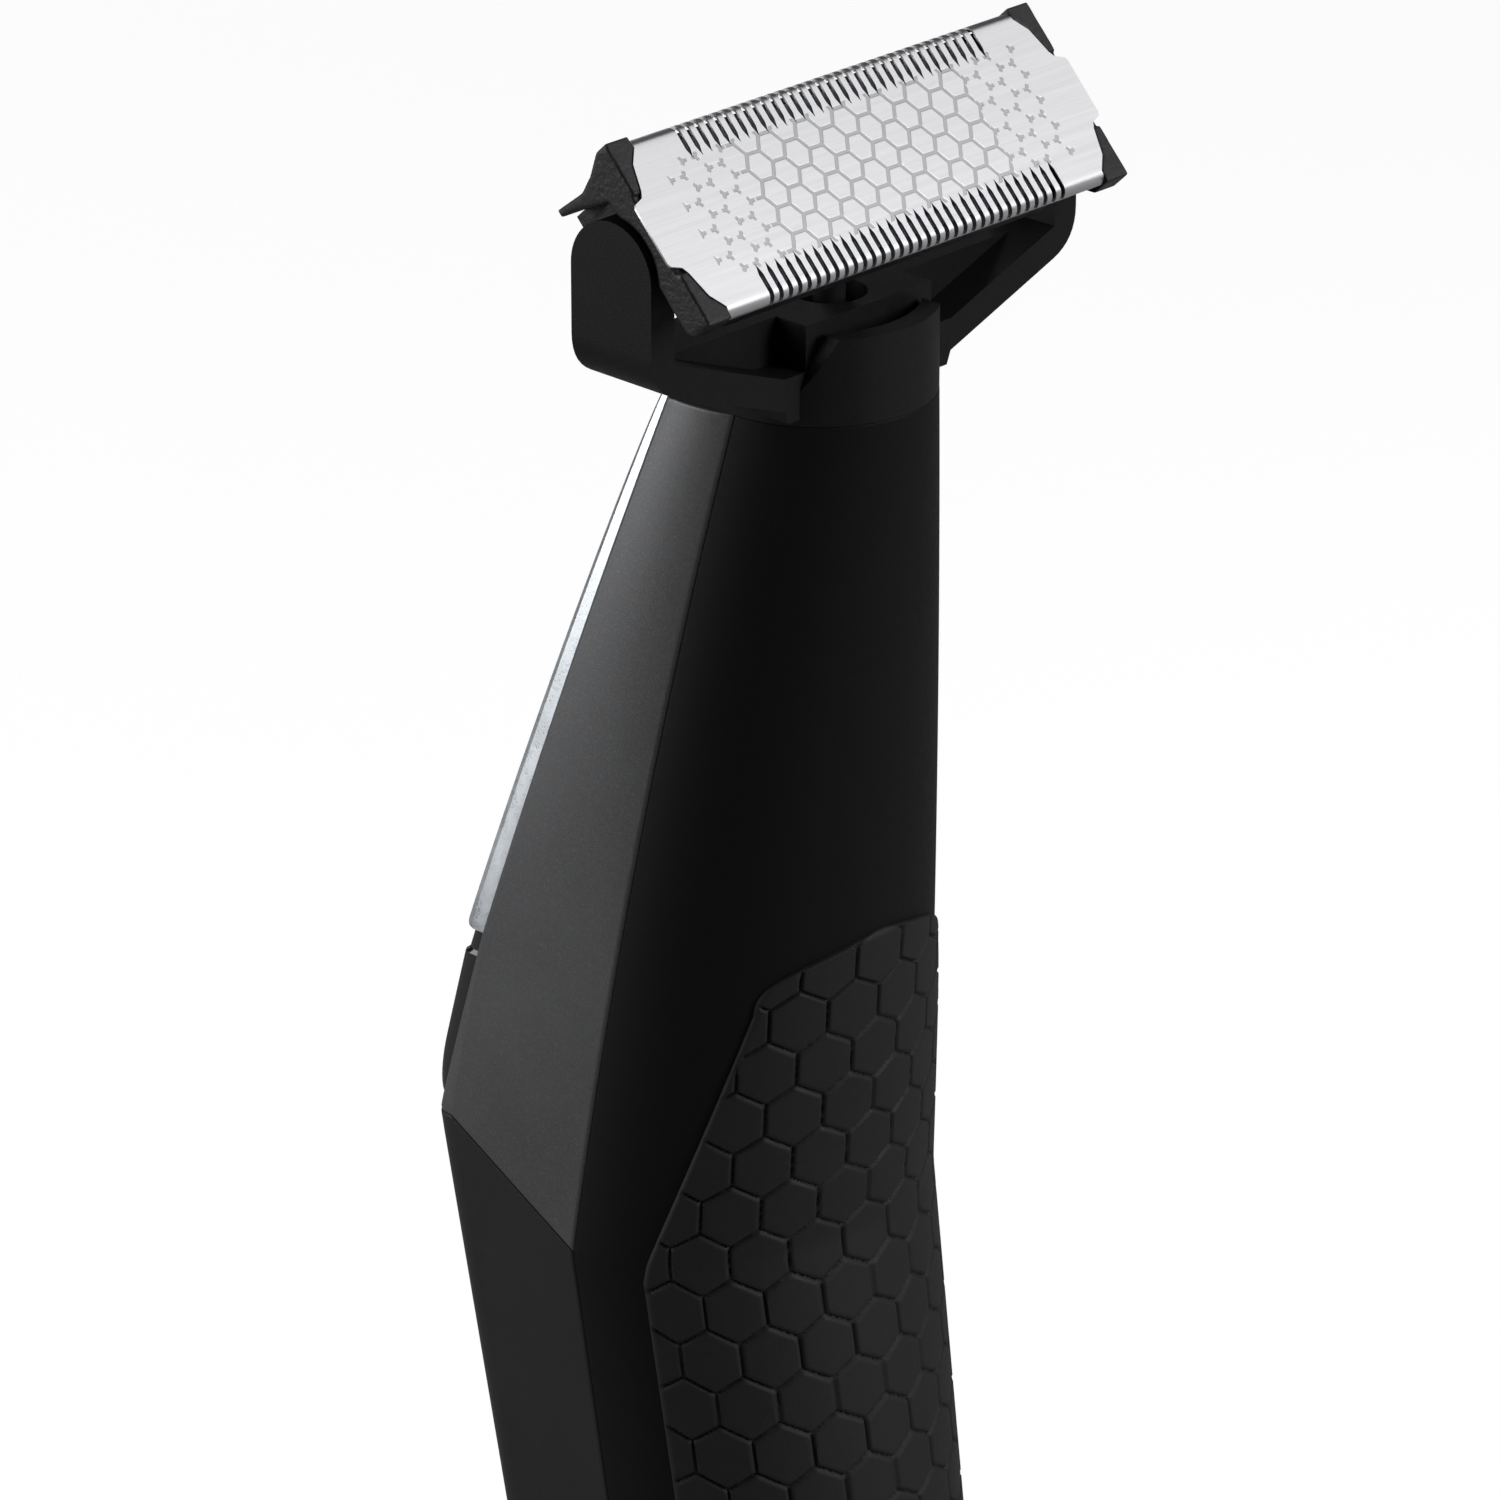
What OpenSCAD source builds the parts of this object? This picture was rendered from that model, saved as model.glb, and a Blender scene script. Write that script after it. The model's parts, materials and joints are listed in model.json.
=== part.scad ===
// Body groomer with a bent handle and a pull-off pivoting foil head.
// Millimetres. +Z runs up the handle, the flat base rests on Z = 0 and is centred on the origin,
// -Y is the front with the power button, +Y is the back with the grip, and X runs along the foil.

/* [Handle] */
// Height of the seam between handle and head above the base
neck_z = 128; // [120:1:160]
// Drop from the neck seam to the bend of the front face
front_drop = 60; // [56:1:66]
// Drop from the neck seam to the bend of the parting line
side_drop = 67; // [62:1:74]
// Drop from the neck seam to the bend of the back
back_drop = 65.5; // [60:0.5:74]
// Half width at the neck, on the parting line
neck_half_w = 8.65; // [8.4:0.05:10.5]
// Half width at the bend, on the parting line
bend_half_w = 16.5; // [14:0.5:20]
// Half width at the base
base_half_w = 14; // [13:0.5:17]
// Outward bow of the upper sides
width_bow = 0.8; // [0:0.1:1.5]
// Half width of the front edge at the neck
neck_front_half = 9.5; // [9.2:0.1:11]
// Front face at the neck
neck_front_y = -7.4; // [-9:0.1:-7.3]
// Front face at the bend
bend_front_y = -25.3; // [-28:0.1:-22]
// Front face at the base
base_front_y = -15.2; // [-17:0.1:-13]
// Forward bow of the upper front
front_bow = -0.1; // [-1.5:0.1:0.2]
// Parting line at the neck
neck_part_y = -1; // [-2:0.1:0]
// Parting line at the bend
bend_part_y = -10.2; // [-12:0.1:-8]
// Parting line at the base
base_part_y = -2.6; // [-4:0.1:0]
// Forward bow of the upper parting line
part_bow = -0.5; // [-1:0.1:0]
// Back apex at the neck
neck_back_y = 7.7; // [7.5:0.1:9]
// Back apex at the bend
bend_back_y = 3.8; // [3.5:0.1:6]
// Back apex at the base
base_back_y = 13.6; // [13:0.1:17]
// Rounding of the front edges at the neck
neck_corner = 1.1; // [0.5:0.1:1.5]
// Rounding of the front edges at the silver plate's lower end
plate_corner = 0.4; // [0.3:0.1:1]
// Rounding of the front edges at the bend
bend_corner = 2.2; // [1:0.1:4]
// Rounding of the front edges at the base
base_corner = 3.5; // [2:0.1:8]
// Wall of the moulded shells
wall = 1.6; // [1.2:0.1:2]
// Thickness of the base cap
cap_h = 3; // [2.5:0.1:4]
// Bevel round the base cap
cap_bevel = 1.2; // [0.4:0.1:2]

/* [Grip] */
// Drop from the neck seam to the top of the grip pad
grip_top_drop = 41; // [36:0.5:48]
// Height of the pad's rounded top
grip_round_h = 4.6; // [3:0.1:7]
// Angle round the back where the pad's long edge runs, counted from the parting line
grip_edge_deg = 24; // [18:1:34]
// The same angle just under the pad's rounded top
grip_shoulder_deg = 49; // [40:1:60]
// How far the soft pad stands above the shell
grip_t = 0.4; // [0.3:0.05:0.8]
// Glue under the soft pad
grip_glue = 0.06; // [0.05:0.01:0.1]
// Margin between the pad and the base cap
grip_foot = 10; // [4:1:20]

/* [Front trim and button] */
// Thickness of the silver front plate at the neck
plate_top_t = 1; // [0.8:0.1:1.6]
// Thickness of the silver front plate at its lower end
plate_low_t = 2.2; // [1.2:0.1:2.6]
// Gap from the silver plate to the edge of the front face
plate_edge = 0.35; // [0.3:0.05:0.8]
// Thickness of the thumb panel
panel_t = 1.9; // [1.2:0.1:2.2]
// Gap from the thumb panel to the edge of the front face
panel_edge = 0.5; // [0.4:0.1:1.5]
// Share of the upper front that the silver plate covers
plate_end = 0.745; // [0.6:0.005:0.76]
// Share of the upper front where the thumb panel starts
panel_start = 0.775; // [0.765:0.005:0.8]
// Share of the upper front where the power button sits
button_at = 0.865; // [0.85:0.005:0.88]
// Width of the power button
button_w = 13; // [8:0.5:15]
// Length of the power button
button_l = 8; // [6:0.5:9]
// How far the button stands above the thumb panel
button_proud = 0.6; // [0.5:0.05:1]
// How far the button travels
button_travel = 0.5; // [0.2:0.05:0.5]
// Gap round the button
button_gap = 0.2; // [0.1:0.05:0.4]
// Radius of the charge light lens
lens_r = 0.75; // [0.5:0.05:1]

/* [Drive] */
// Radius of the motor can
motor_r = 6; // [5:0.25:6.5]
// Length of the motor can
motor_l = 22.5; // [18:0.5:23]
// Motor axis, front to back
motor_y = -4; // [-5:0.1:-3.5]
// Radius of the motor shaft
shaft_r = 0.75; // [0.5:0.05:1]
// Drop from the neck seam to the lever's pivot
pivot_drop = 10; // [9:0.25:11]
// Drop from the lever's pivot to the eccentric pin
fork_drop = 8; // [7:0.25:8]
// How far the cutter moves to each side
stroke = 1; // [0.6:0.05:1]
// Radius of the lever's rod
rod_r = 1.2; // [1:0.05:1.3]
// Radius of the ball at the lever's tip
tip_r = 1.4; // [1.3:0.05:1.5]
// Radius of the eccentric pin
crank_r = 0.8; // [0.5:0.05:1]
// Radius of the lever's pivot pin
lever_pin_r = 1; // [0.8:0.05:1.2]

/* [Power] */
// Radius of the battery cell
cell_r = 7; // [5:0.1:7.2]
// Length of the battery cell
cell_l = 44; // [40:1:46]
// Radius of the charging socket's bore
socket_r = 1.75; // [1.5:0.05:2.2]
// Depth of the charging socket's bore
socket_depth = 8; // [6:0.5:9]
// Radius of the charging socket's body
socket_body_r = 3.4; // [3:0.1:4]
// Charging socket, front to back
socket_y = 6.5; // [5:0.1:7.5]

/* [Head] */
// Height of the cartridge's pivot above the neck seam
pivot_rise = 14.3; // [14:0.1:17]
// Tilt of the foil towards the back
foil_tilt = 46.8; // [40:0.1:50]
// Distance from the pivot to the foil's face
foil_rise = 5.76; // [5.6:0.02:6.4]
// Length of the foil's flat face
foil_len = 38.8; // [32:0.1:48]
// Width of the foil
foil_w = 14.4; // [13.6:0.1:17.5]
// Thickness of the foil
foil_t = 0.3; // [0.2:0.05:0.3]
// Depth of the foil's rolled edges
skirt_h = 1.3; // [1:0.1:1.4]
// Number of comb slots along each edge
slot_count = 33; // [20:1:33]
// Distance from slot to slot
slot_pitch = 0.94; // [0.8:0.01:0.95]
// Width of a comb slot
slot_w = 0.38; // [0.3:0.02:0.5]
// Length of a comb slot on the face
slot_l = 2.1; // [1.5:0.1:2.4]
// Length of the foil's end tabs
tab_l = 2.8; // [1.6:0.1:3]
// Half width of the foil's end tabs
tab_half = 2.5; // [2:0.1:2.8]
// Thickness of the yoke's arms
arm_t = 2.3; // [2:0.1:2.6]
// Half depth of the yoke's arms, and the radius of their tips
arm_half_y = 3.9; // [3.4:0.1:3.95]
// Width of the rim along the yoke's arms
rim_w = 2.3; // [1.6:0.1:3]
// Rise of the arms' lower edge, in degrees
arm_rise_deg = 20.5; // [16:0.5:22]
// Radius of the cartridge's pivot pins
pin_r = 1; // [0.7:0.05:1.1]
// Radius of the neck collar's spigot
spigot_r = 5.2; // [5:0.05:5.4]
// Height of the neck collar's spigot
spigot_h = 3; // [2:0.1:3.2]

/* [Fits] */
// Radial clearance of a pin in its bore
run_fit = 0.05; // [0.02:0.01:0.08]
// Gap between pieces that move past each other
gap = 0.3; // [0.15:0.05:0.35]

/* [Hidden] */
$fn = 48;

touch = 0.02;
cut = 1;
upper_rows = [for (k = [0:8]) k / 8];
lower_rows = [1, 1.5, 2];

// Frame of the power button, on the front face
front_slope = (bend_front_y - neck_front_y + 4 * front_bow * (1 - 2 * button_at)) / front_drop;
front_lean = atan(-front_slope);
button_r = 2.5;
board_t = 1;
board_in = 6.4;
board_w = 16;
board_l = 23;
board_shift = -3;
switch_w = 4.6;
switch_h = 2.2;
plunger_h = 0.8;
plunger_r = 1.1;
stem_r = 1.6;
button_foot = board_in - switch_h - plunger_h;
flange_t = 0.7;
flange_over = 1.2;
lens_drop = 6.6;
lens_body_r = lens_r + 0.35;
led_h = 0.9;

// Drive train, heights from the base
motor_top = neck_z - 23.5;
bracket_t = 1.5;
cam_z = motor_top + bracket_t + 0.5;
cam_h = 1.8;
cam_roof = 0.6;
cam_r = 2.4;
lever_z = neck_z - pivot_drop;
tip_z = neck_z + pivot_rise;
tip_arm = tip_z - lever_z;
eccentric = stroke * fork_drop / tip_arm;
swing_deg = asin(stroke / tip_arm);
boss_r = lever_pin_r + 1.3;
fork_half = crank_r + 2 * eccentric + gap;
tine_w = 1.2;
tine_low = 1.2;
crank_up = 1.6;
ear_t = 0.9;
ear_gap = 0.4;
ear_half = 2.8;
ear_front = motor_y - cam_r - ear_gap - ear_t;
ear_back = 2.4;
can_wall = 0.6;
can_face = 1.5;
end_cap_h = 2.5;
screw_x = 4.2;
plate_half = screw_x + 2.4;
seal_half = rod_r + stroke * (pivot_drop + spigot_h) / tip_arm + gap;
passage_r = 3.2;

// Battery, in the lean of the lower handle
bend_z = neck_z - side_drop;
base_mid = (base_front_y + base_back_y) / 2;
bend_mid = (bend_front_y + bend_back_y) / 2;
lower_lean = atan((base_mid - bend_mid) / bend_z);
cell_z = 15;
cell_top = cell_z + cell_l;
contact_t = 0.5;
cradle_t = 1.3;
cradle_end = 1.2;
screw_r = 1;
base_screw_x = 8.5;
base_screw_y = -3.5;
boss_top = cell_z - contact_t - cradle_end;
socket_seat = 0.8;
socket_end = socket_seat + socket_depth + 1.2;

// Head, heights from the neck seam
cover_h = 2;
boss_h = spigot_h + 1.3;
boss_out_r = spigot_r + 1.4;
foil_half = foil_len / 2;
arm_in = foil_half + 0.3;
arm_out = arm_in + arm_t;
arm_root_x = neck_half_w;
arm_root_z = 1.5;
web_top = pivot_rise - 6.9;
web_back = 1;
tower_half = 6.5;
tower_top = pivot_rise - 6.9;
tab_top = 6.5;
tab_top_half = 5.2;
tab_low_half = 7.3;
tab_low = 2.3;

// Cartridge, in its own tilted frame: x along the foil, w across it, n out of its face
half_w_foil = foil_w / 2;
under_foil = foil_rise - foil_t;
blade_t = 0.4;
blade_top = under_foil - 0.08;
carrier_top = blade_top - blade_t;
carrier_low = 2.6;
carrier_half_w = half_w_foil - 3;
wall_in = carrier_half_w + 0.5;
back_wall_out = wall_in + 1.5;
front_wall_out = wall_in + 0.9;
skirt_in = half_w_foil - foil_t;
lip_in = skirt_in - 0.05;
foil_roll = 0.8;
tab_root = 3.3;
end_bulge = 1.5;
slab_half = half_w_foil - foil_roll - 0.05;
end_out = foil_half - 1.8;
end_t = 1.3;
end_in = end_out - end_t;
blade_half = end_out - stroke - 0.2;
carrier_half = end_in - stroke - gap;
wall_top = under_foil - 1.16;
fork_in = tip_r + run_fit;
fork_out = fork_in + 1.4;
fork_half_w = 2.2;
fork_way = fork_out + stroke + gap;
spring_x = carrier_half * 0.6;
clear_r = arm_half_y + 0.35;
grip_x = 2.3;
grip_low = 3.2;
grip_notch = 3.2;
pivot_boss_r = 2.2;
front_skirt_low = -2.8;

// Linear blend from a to b
function lerp(a, b, t) = a + (b - a) * t;
// Parabola that is 0 at both ends and 1 in the middle
function hump(t) = 4 * t * (1 - t);
// Profile value at station v: 0 at the neck, 1 at the bend, 2 at the base cap
function along(neck, bend, base, bow, v) =
  v <= 1 ? lerp(neck, bend, v) + bow * hump(v) : lerp(bend, base, v - 1);
function half_w(v) = along(neck_half_w, bend_half_w, base_half_w, width_bow, v);
function front_half(v) = along(neck_front_half, bend_half_w, base_half_w, width_bow, v);
function front_y(v) = along(neck_front_y, bend_front_y, base_front_y, front_bow, v);
function part_y(v) = along(neck_part_y, bend_part_y, base_part_y, part_bow, v);
function back_y(v) = along(neck_back_y, bend_back_y, base_back_y, 0, v);
function corner(v) = v <= plate_end ? lerp(neck_corner, plate_corner, v / plate_end)
  : v <= 1 ? lerp(plate_corner, bend_corner, (v - plate_end) / (1 - plate_end))
  : lerp(bend_corner, base_corner, v - 1);
// Height of station v for a point whose bend lies that far below the neck
function level(v, drop) = v <= 1 ? neck_z - v * drop : lerp(neck_z - drop, cap_h, v - 1);
function lift(v, p) = [p[0], p[1], level(v, p[2])];
// Quadratic curve from a to b, pulled towards c
function bend(a, c, b, t) = (1 - t) * (1 - t) * a + 2 * t * (1 - t) * c + t * t * b;

// Back outline at station v, inset by g: half an ellipse from the right parting line to the left.
// Each point carries the drop of its own bend.
function back_path(v, g, from = 0, to = 180, steps = 28) = [for (k = [0:steps])
  let (a = lerp(from, to, k / steps))
  [(half_w(v) - g) * cos(a), part_y(v) + (back_y(v) - g - part_y(v)) * sin(a),
   lerp(side_drop, back_drop, sin(a))]];

// Front outline from the centre to the right parting line: face, rounded edge, side panel
function front_half_path(v, g) =
  let (a = [half_w(v) - g, part_y(v)],
    c = [front_half(v) - g, front_y(v) + g],
    r = max(corner(v) - g, 0.3),
    p = c + (a - c) * r / norm(a - c),
    q = c - [r, 0])
  concat(
    [for (k = [0:3]) [q[0] * k / 3, q[1], front_drop]],
    [for (k = [1:5]) let (b = bend(q, c, p, k / 5)) [b[0], b[1], front_drop]],
    [for (k = [1:4]) let (b = lerp(p, a, k / 4)) [b[0], b[1], lerp(front_drop, side_drop, k / 4)]]);
function mirrored(path) = [for (k = [len(path) - 1:-1:1]) [-path[k][0], path[k][1], path[k][2]]];
function front_path(v, g) = concat(mirrored(front_half_path(v, g)), front_half_path(v, g));
// Closed outline of the whole handle at station v, without its heights
function ring(v, g) = let (front = front_path(v, g))
  concat([for (p = back_path(v, g)) [p[0], p[1]]],
    [for (k = [1:len(front) - 2]) [front[k][0], front[k][1]]]);

// Strip of the front face between stations, narrower by edge and clear of the rounded edges. It stands
// in front of the face by top at the neck, by low at the plate's lower end, and less by round at its sides.
function face_rows(rows, top, low, edge, round) = [for (v = rows)
  let (w = front_half(v) - max(edge, 0.8 * corner(v)), out = lerp(top, low, sqrt(v / plate_end)))
  [for (k = [-6:6]) let (x = w * k / 6, t = abs(k) / 6)
    lift(v, [x, front_y(v) - out + round * pow(t, 6), front_drop])]];

// Angle of the grip pad's edge at station v
function grip_deg(v) =
  let (d = neck_z - level(v, back_drop) - grip_top_drop,
    slope = clamp01((side_drop - grip_top_drop - d) / (side_drop - grip_top_drop - grip_round_h)),
    side = lerp(grip_edge_deg, grip_shoulder_deg, slope),
    top = clamp01(d / grip_round_h))
  lerp(side, 88, pow(1 - top, 3));
function clamp01(t) = max(0, min(1, t));

function quad(a, b, c, d) = [[a, b, c], [a, c, d]];

// Closed wall between an outer and an inner grid of points, rows running down
module band(outer, inner) {
  rows = len(outer);
  cols = len(outer[0]);
  base = rows * cols;
  last = rows - 1;
  end = cols - 1;
  points = concat([for (r = outer) each r], [for (r = inner) each r]);
  skin = [for (s = [0:rows - 2]) for (i = [0:cols - 2])
    let (o = s * cols + i, n = base + o)
    each concat(quad(o, o + 1, o + cols + 1, o + cols), quad(n, n + cols, n + cols + 1, n + 1))];
  ends = [for (i = [0:cols - 2])
    let (o = i, n = base + i, p = last * cols + i, q = base + p)
    each concat(quad(o, n, n + 1, o + 1), quad(p, p + 1, q + 1, q))];
  edges = [for (s = [0:rows - 2])
    let (o = s * cols, n = base + o, p = o + end, q = n + end)
    each concat(quad(o, o + cols, n + cols, n), quad(p, q, q + cols, p + cols))];
  polyhedron(points, concat(skin, ends, edges), convexity = 10);
}

// Solid through a stack of closed outlines, each a list of points, from the top down
module stack(rings) {
  n = len(rings[0]);
  m = len(rings);
  hub = m * n;
  points = concat([for (r = rings) each r], [middle(rings[0]), middle(rings[m - 1])]);
  sides = [for (s = [0:m - 2]) for (i = [0:n - 1])
    let (o = s * n + i, p = s * n + (i + 1) % n)
    each quad(o, p, p + n, o + n)];
  caps = [for (i = [0:n - 1]) let (p = (i + 1) % n, q = (m - 1) * n)
    each [[p, i, hub], [q + i, q + p, hub + 1]]];
  polyhedron(points, concat(sides, caps), convexity = 4);
}
function middle(outline) = total(outline) / len(outline);
function total(list, k = 0) = k == len(list) - 1 ? list[k] : list[k] + total(list, k + 1);

// Round wire wound turns times round Z, from the origin up
module coil(mean_r, wire_r, turns, pitch) {
  steps = 14;
  sides = 6;
  count = floor(turns * steps);
  rows = [for (k = [count:-1:0])
    let (a = 360 * k / steps, z = wire_r + pitch * k / steps)
    [for (j = [0:sides - 1]) let (b = 360 * j / sides, r = mean_r + wire_r * cos(b))
      [r * cos(a), r * sin(a), z + wire_r * sin(b)]]];
  stack(rows);
}

module rounded(w, l, r) {
  square([w - 2 * r, l], center = true);
  square([w, l - 2 * r], center = true);
  for (x = [-1, 1], y = [-1, 1]) translate([x * (w / 2 - r), y * (l / 2 - r)]) circle(r = r);
}

// Box from its lowest to its highest corner
module block(low, high) {
  translate(low) cube(high - low);
}

// Places a child on the front face at the button: z out of the face, y up along it
module on_front() {
  translate([0, front_y(button_at), level(button_at, front_drop)]) rotate([90 - front_lean, 0, 0])
    children();
}

// Places a child in the lean of the lower handle, z up the battery
module in_lower() {
  translate([0, base_mid, 0]) rotate([lower_lean, 0, 0]) children();
}

module at_neck() {
  translate([0, 0, neck_z]) children();
}

// Places a child in the cartridge's tilted frame, with the pivot at its origin
module in_cartridge() {
  translate([0, 0, neck_z + pivot_rise]) rotate([-foil_tilt, 0, 0]) children();
}

// ---- Handle ----

module back_shell() {
  rows = concat(upper_rows, [for (k = [1:len(lower_rows) - 1]) lower_rows[k]]);
  color([0.07, 0.07, 0.075])
    band([for (v = rows) [for (p = back_path(v, 0)) lift(v, p)]],
      [for (v = rows) [for (p = back_path(v, wall)) lift(v, p)]]);
}

module grip_pad() {
  top_v = grip_top_drop / back_drop;
  end_v = 2 - grip_foot / (neck_z - back_drop - cap_h);
  shoulder_v = top_v + 1.2 * grip_round_h / back_drop;
  near = [for (k = [0:10]) lerp(top_v + 0.004, shoulder_v, k * k / 100)];
  rows = concat(near, [for (k = [1:8]) lerp(shoulder_v, 1, k / 8)], [1.5, end_v]);
  color([0.09, 0.085, 0.09])
    band([for (v = rows) [for (p = back_path(v, -grip_t, grip_deg(v), 180 - grip_deg(v), 24)) lift(v, p)]],
      [for (v = rows) [for (p = back_path(v, -grip_glue, grip_deg(v), 180 - grip_deg(v), 24)) lift(v, p)]]);
}

// Openings for the button's stem and the lens, along the button's frame
module front_openings() {
  on_front() {
    translate([0, 0, -wall - 2]) linear_extrude(wall + panel_t + 4)
      rounded(button_w + 2 * button_gap, button_l + 2 * button_gap, button_r + button_gap);
    translate([0, -lens_drop, -wall - 2]) cylinder(r = lens_body_r, h = wall + panel_t + 4);
  }
}

module front_shell() {
  color([0.24, 0.24, 0.25]) difference() {
    band([for (v = upper_rows) [for (p = front_path(v, 0)) lift(v, p)]],
      [for (v = upper_rows) [for (p = front_path(v, wall)) lift(v, p)]]);
    front_openings();
  }
}

module lower_front_shell() {
  color([0.08, 0.08, 0.085])
    band([for (v = lower_rows) [for (p = front_path(v, 0)) lift(v, p)]],
      [for (v = lower_rows) [for (p = front_path(v, wall)) lift(v, p)]]);
}

module front_plate() {
  rows = [for (k = [0:6]) lerp(0.004, plate_end, k / 6)];
  color([0.8, 0.83, 0.86])
    band(face_rows(rows, plate_top_t, plate_low_t, plate_edge, 0.5),
      face_rows(rows, touch, touch, plate_edge, 0));
}

module thumb_panel() {
  rows = [for (k = [0:3]) lerp(panel_start, 0.995, k / 3)];
  color([0.05, 0.05, 0.055]) difference() {
    band(face_rows(rows, panel_t, panel_t, panel_edge, 0.4), face_rows(rows, touch, touch, panel_edge, 0));
    front_openings();
  }
}

module base_cap() {
  plug_h = 2.5;
  color([0.07, 0.07, 0.075]) difference() {
    union() {
      stack([for (s = [[cap_h, 0], [cap_bevel, 0], [0, cap_bevel]]) [for (p = ring(2, s[1])) [p[0], p[1], s[0]]]]);
      translate([0, 0, cap_h - 0.5]) linear_extrude(plug_h + 0.5) intersection() {
        polygon(ring(2, wall + gap / 2));
        polygon(ring(2 - plug_h / (bend_z - cap_h), wall + gap / 2));
      }
    }
    translate([0, socket_y, -cut]) cylinder(r = socket_body_r + touch, h = cap_h + plug_h + 2 * cut);
    for (x = [-base_screw_x, base_screw_x]) translate([x, base_screw_y, 0]) {
      translate([0, 0, -cut]) cylinder(r = screw_r + run_fit, h = cap_h + plug_h + 2 * cut);
      translate([0, 0, -cut]) cylinder(r = screw_r + 1.15, h = cut + 1.6);
    }
  }
}

module base_screws() {
  color([0.6, 0.6, 0.62]) for (x = [-base_screw_x, base_screw_x]) translate([x, base_screw_y, 0]) difference() {
    union() {
      translate([0, 0, 0.5]) cylinder(r = screw_r + 1, h = 1.1);
      translate([0, 0, 1.6]) cylinder(r = screw_r, h = 7.4);
    }
    for (a = [0, 90]) rotate([0, 0, a]) translate([0, 0, 0.7]) cube([1.8, 0.5, 0.8], center = true);
  }
}

module charge_socket() {
  color([0.04, 0.04, 0.04]) translate([0, socket_y, 0]) difference() {
    translate([0, 0, socket_seat]) cylinder(r = socket_body_r, h = socket_end - socket_seat);
    translate([0, 0, socket_seat - cut]) cylinder(r = socket_r, h = socket_depth + cut);
  }
}

module charge_lens() {
  color([0.85, 0.9, 0.95]) on_front() translate([0, -lens_drop, 0]) {
    translate([0, 0, -board_in + led_h + 0.1]) cylinder(r = lens_r, h = board_in - led_h - 0.1 - wall);
    translate([0, 0, -wall]) cylinder(r = lens_body_r - touch, h = wall + panel_t + 0.05);
  }
}

module circuit_board() {
  color([0.05, 0.3, 0.15]) on_front() translate([0, board_shift, -board_in - board_t]) difference() {
    linear_extrude(board_t) rounded(board_w, board_l, 1);
    for (x = [-1, 1]) translate([x * (board_w / 2 - 2), board_l / 2 - 2, -cut])
      cylinder(r = 0.9, h = board_t + 2 * cut);
  }
}

module charge_led() {
  color([0.95, 0.95, 0.9]) on_front() translate([0, -lens_drop, -board_in]) difference() {
    translate([0, 0, led_h / 2]) cube([1.6, 1.2, led_h], center = true);
    translate([0, 0, led_h - 0.2]) cylinder(r = 0.4, h = 1);
  }
}

module tact_switch() {
  color([0.7, 0.7, 0.7]) on_front() translate([0, 0, -board_in]) difference() {
    linear_extrude(switch_h) rounded(switch_w, switch_w, 0.5);
    translate([0, 0, switch_h - button_travel - 0.1]) cylinder(r = plunger_r + run_fit, h = 2);
  }
}

module battery_cell() {
  color([0.15, 0.35, 0.6]) in_lower() translate([0, 0, cell_z]) {
    cylinder(r = cell_r, h = cell_l - 1);
    translate([0, 0, cell_l - 1]) cylinder(r = cell_r * 0.38, h = 1);
  }
}

module battery_contacts() {
  color([0.85, 0.8, 0.6]) in_lower() {
    translate([-3, -3, cell_z - contact_t]) cube([6, 6, contact_t]);
    translate([-3, -3, cell_top]) cube([6, 6, contact_t]);
  }
}

// Motor ring, spine, board posts, battery cradle and screw bosses in one moulding
module inner_frame() {
  ring_r = motor_r + 1.3;
  ring_top = motor_top - 8;
  ring_h = 8;
  spine_y = -0.6;
  spine_t = 1.5;
  spine_half = 5.5;
  cradle_r = cell_r + cradle_t;
  top_z = cell_top + contact_t;
  color([0.3, 0.3, 0.32]) difference() {
    union() {
      translate([0, motor_y, ring_top - ring_h]) cylinder(r = ring_r, h = ring_h);
      block([-spine_half, spine_y, cell_top - 2], [spine_half, spine_y + spine_t, ring_top]);
      block([-spine_half, spine_y - 5, cell_top - 2], [spine_half, spine_y, cell_top + 3]);
      on_front() for (x = [-1, 1])
        block([x * spine_half - 0.8, -13, -24], [x * spine_half + 0.8, -8, -board_in - board_t]);
      in_lower() translate([0, 0, boss_top]) cylinder(r = cradle_r, h = top_z + cradle_end - boss_top);
      for (x = [-base_screw_x, base_screw_x]) translate([x, base_screw_y, cap_h + 2.6])
        cylinder(r = screw_r + 1.3, h = boss_top + 3 - cap_h);
      block([-base_screw_x, base_screw_y - 2, boss_top + 0.6], [base_screw_x, base_screw_y + 4, boss_top + 2.2]);
    }
    translate([0, motor_y, motor_top - motor_l - end_cap_h - 0.1]) cylinder(r = motor_r + run_fit, h = motor_l + end_cap_h);
    in_lower() {
      translate([0, 0, cell_z - contact_t]) cylinder(r = cell_r + run_fit, h = top_z - cell_z + contact_t);
      block([-20, -20, cell_z + 3], [20, -2, cell_top - 3]);
    }
    for (x = [-base_screw_x, base_screw_x]) translate([x, base_screw_y, 0])
      cylinder(r = screw_r + touch, h = 9.5);
  }
}

// ---- Drive ----

module motor_can() {
  color([0.72, 0.72, 0.74]) translate([0, motor_y, motor_top - motor_l]) difference() {
    union() {
      cylinder(r = motor_r, h = motor_l);
      translate([0, 0, motor_l]) cylinder(r = shaft_r + 0.9, h = 1);
    }
    translate([0, 0, -cut]) cylinder(r = motor_r - can_wall, h = motor_l - can_face + cut);
    cylinder(r = shaft_r + run_fit, h = motor_l + 3);
    for (x = [-screw_x, screw_x]) translate([x, 0, 0]) cylinder(r = 0.6 + touch, h = motor_l + 3);
  }
}

module motor_end_cap() {
  color([0.15, 0.15, 0.16]) translate([0, motor_y, motor_top - motor_l - end_cap_h]) difference() {
    cylinder(r = motor_r, h = end_cap_h);
    translate([0, 0, 1]) cylinder(r = shaft_r + run_fit, h = end_cap_h);
  }
}

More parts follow.
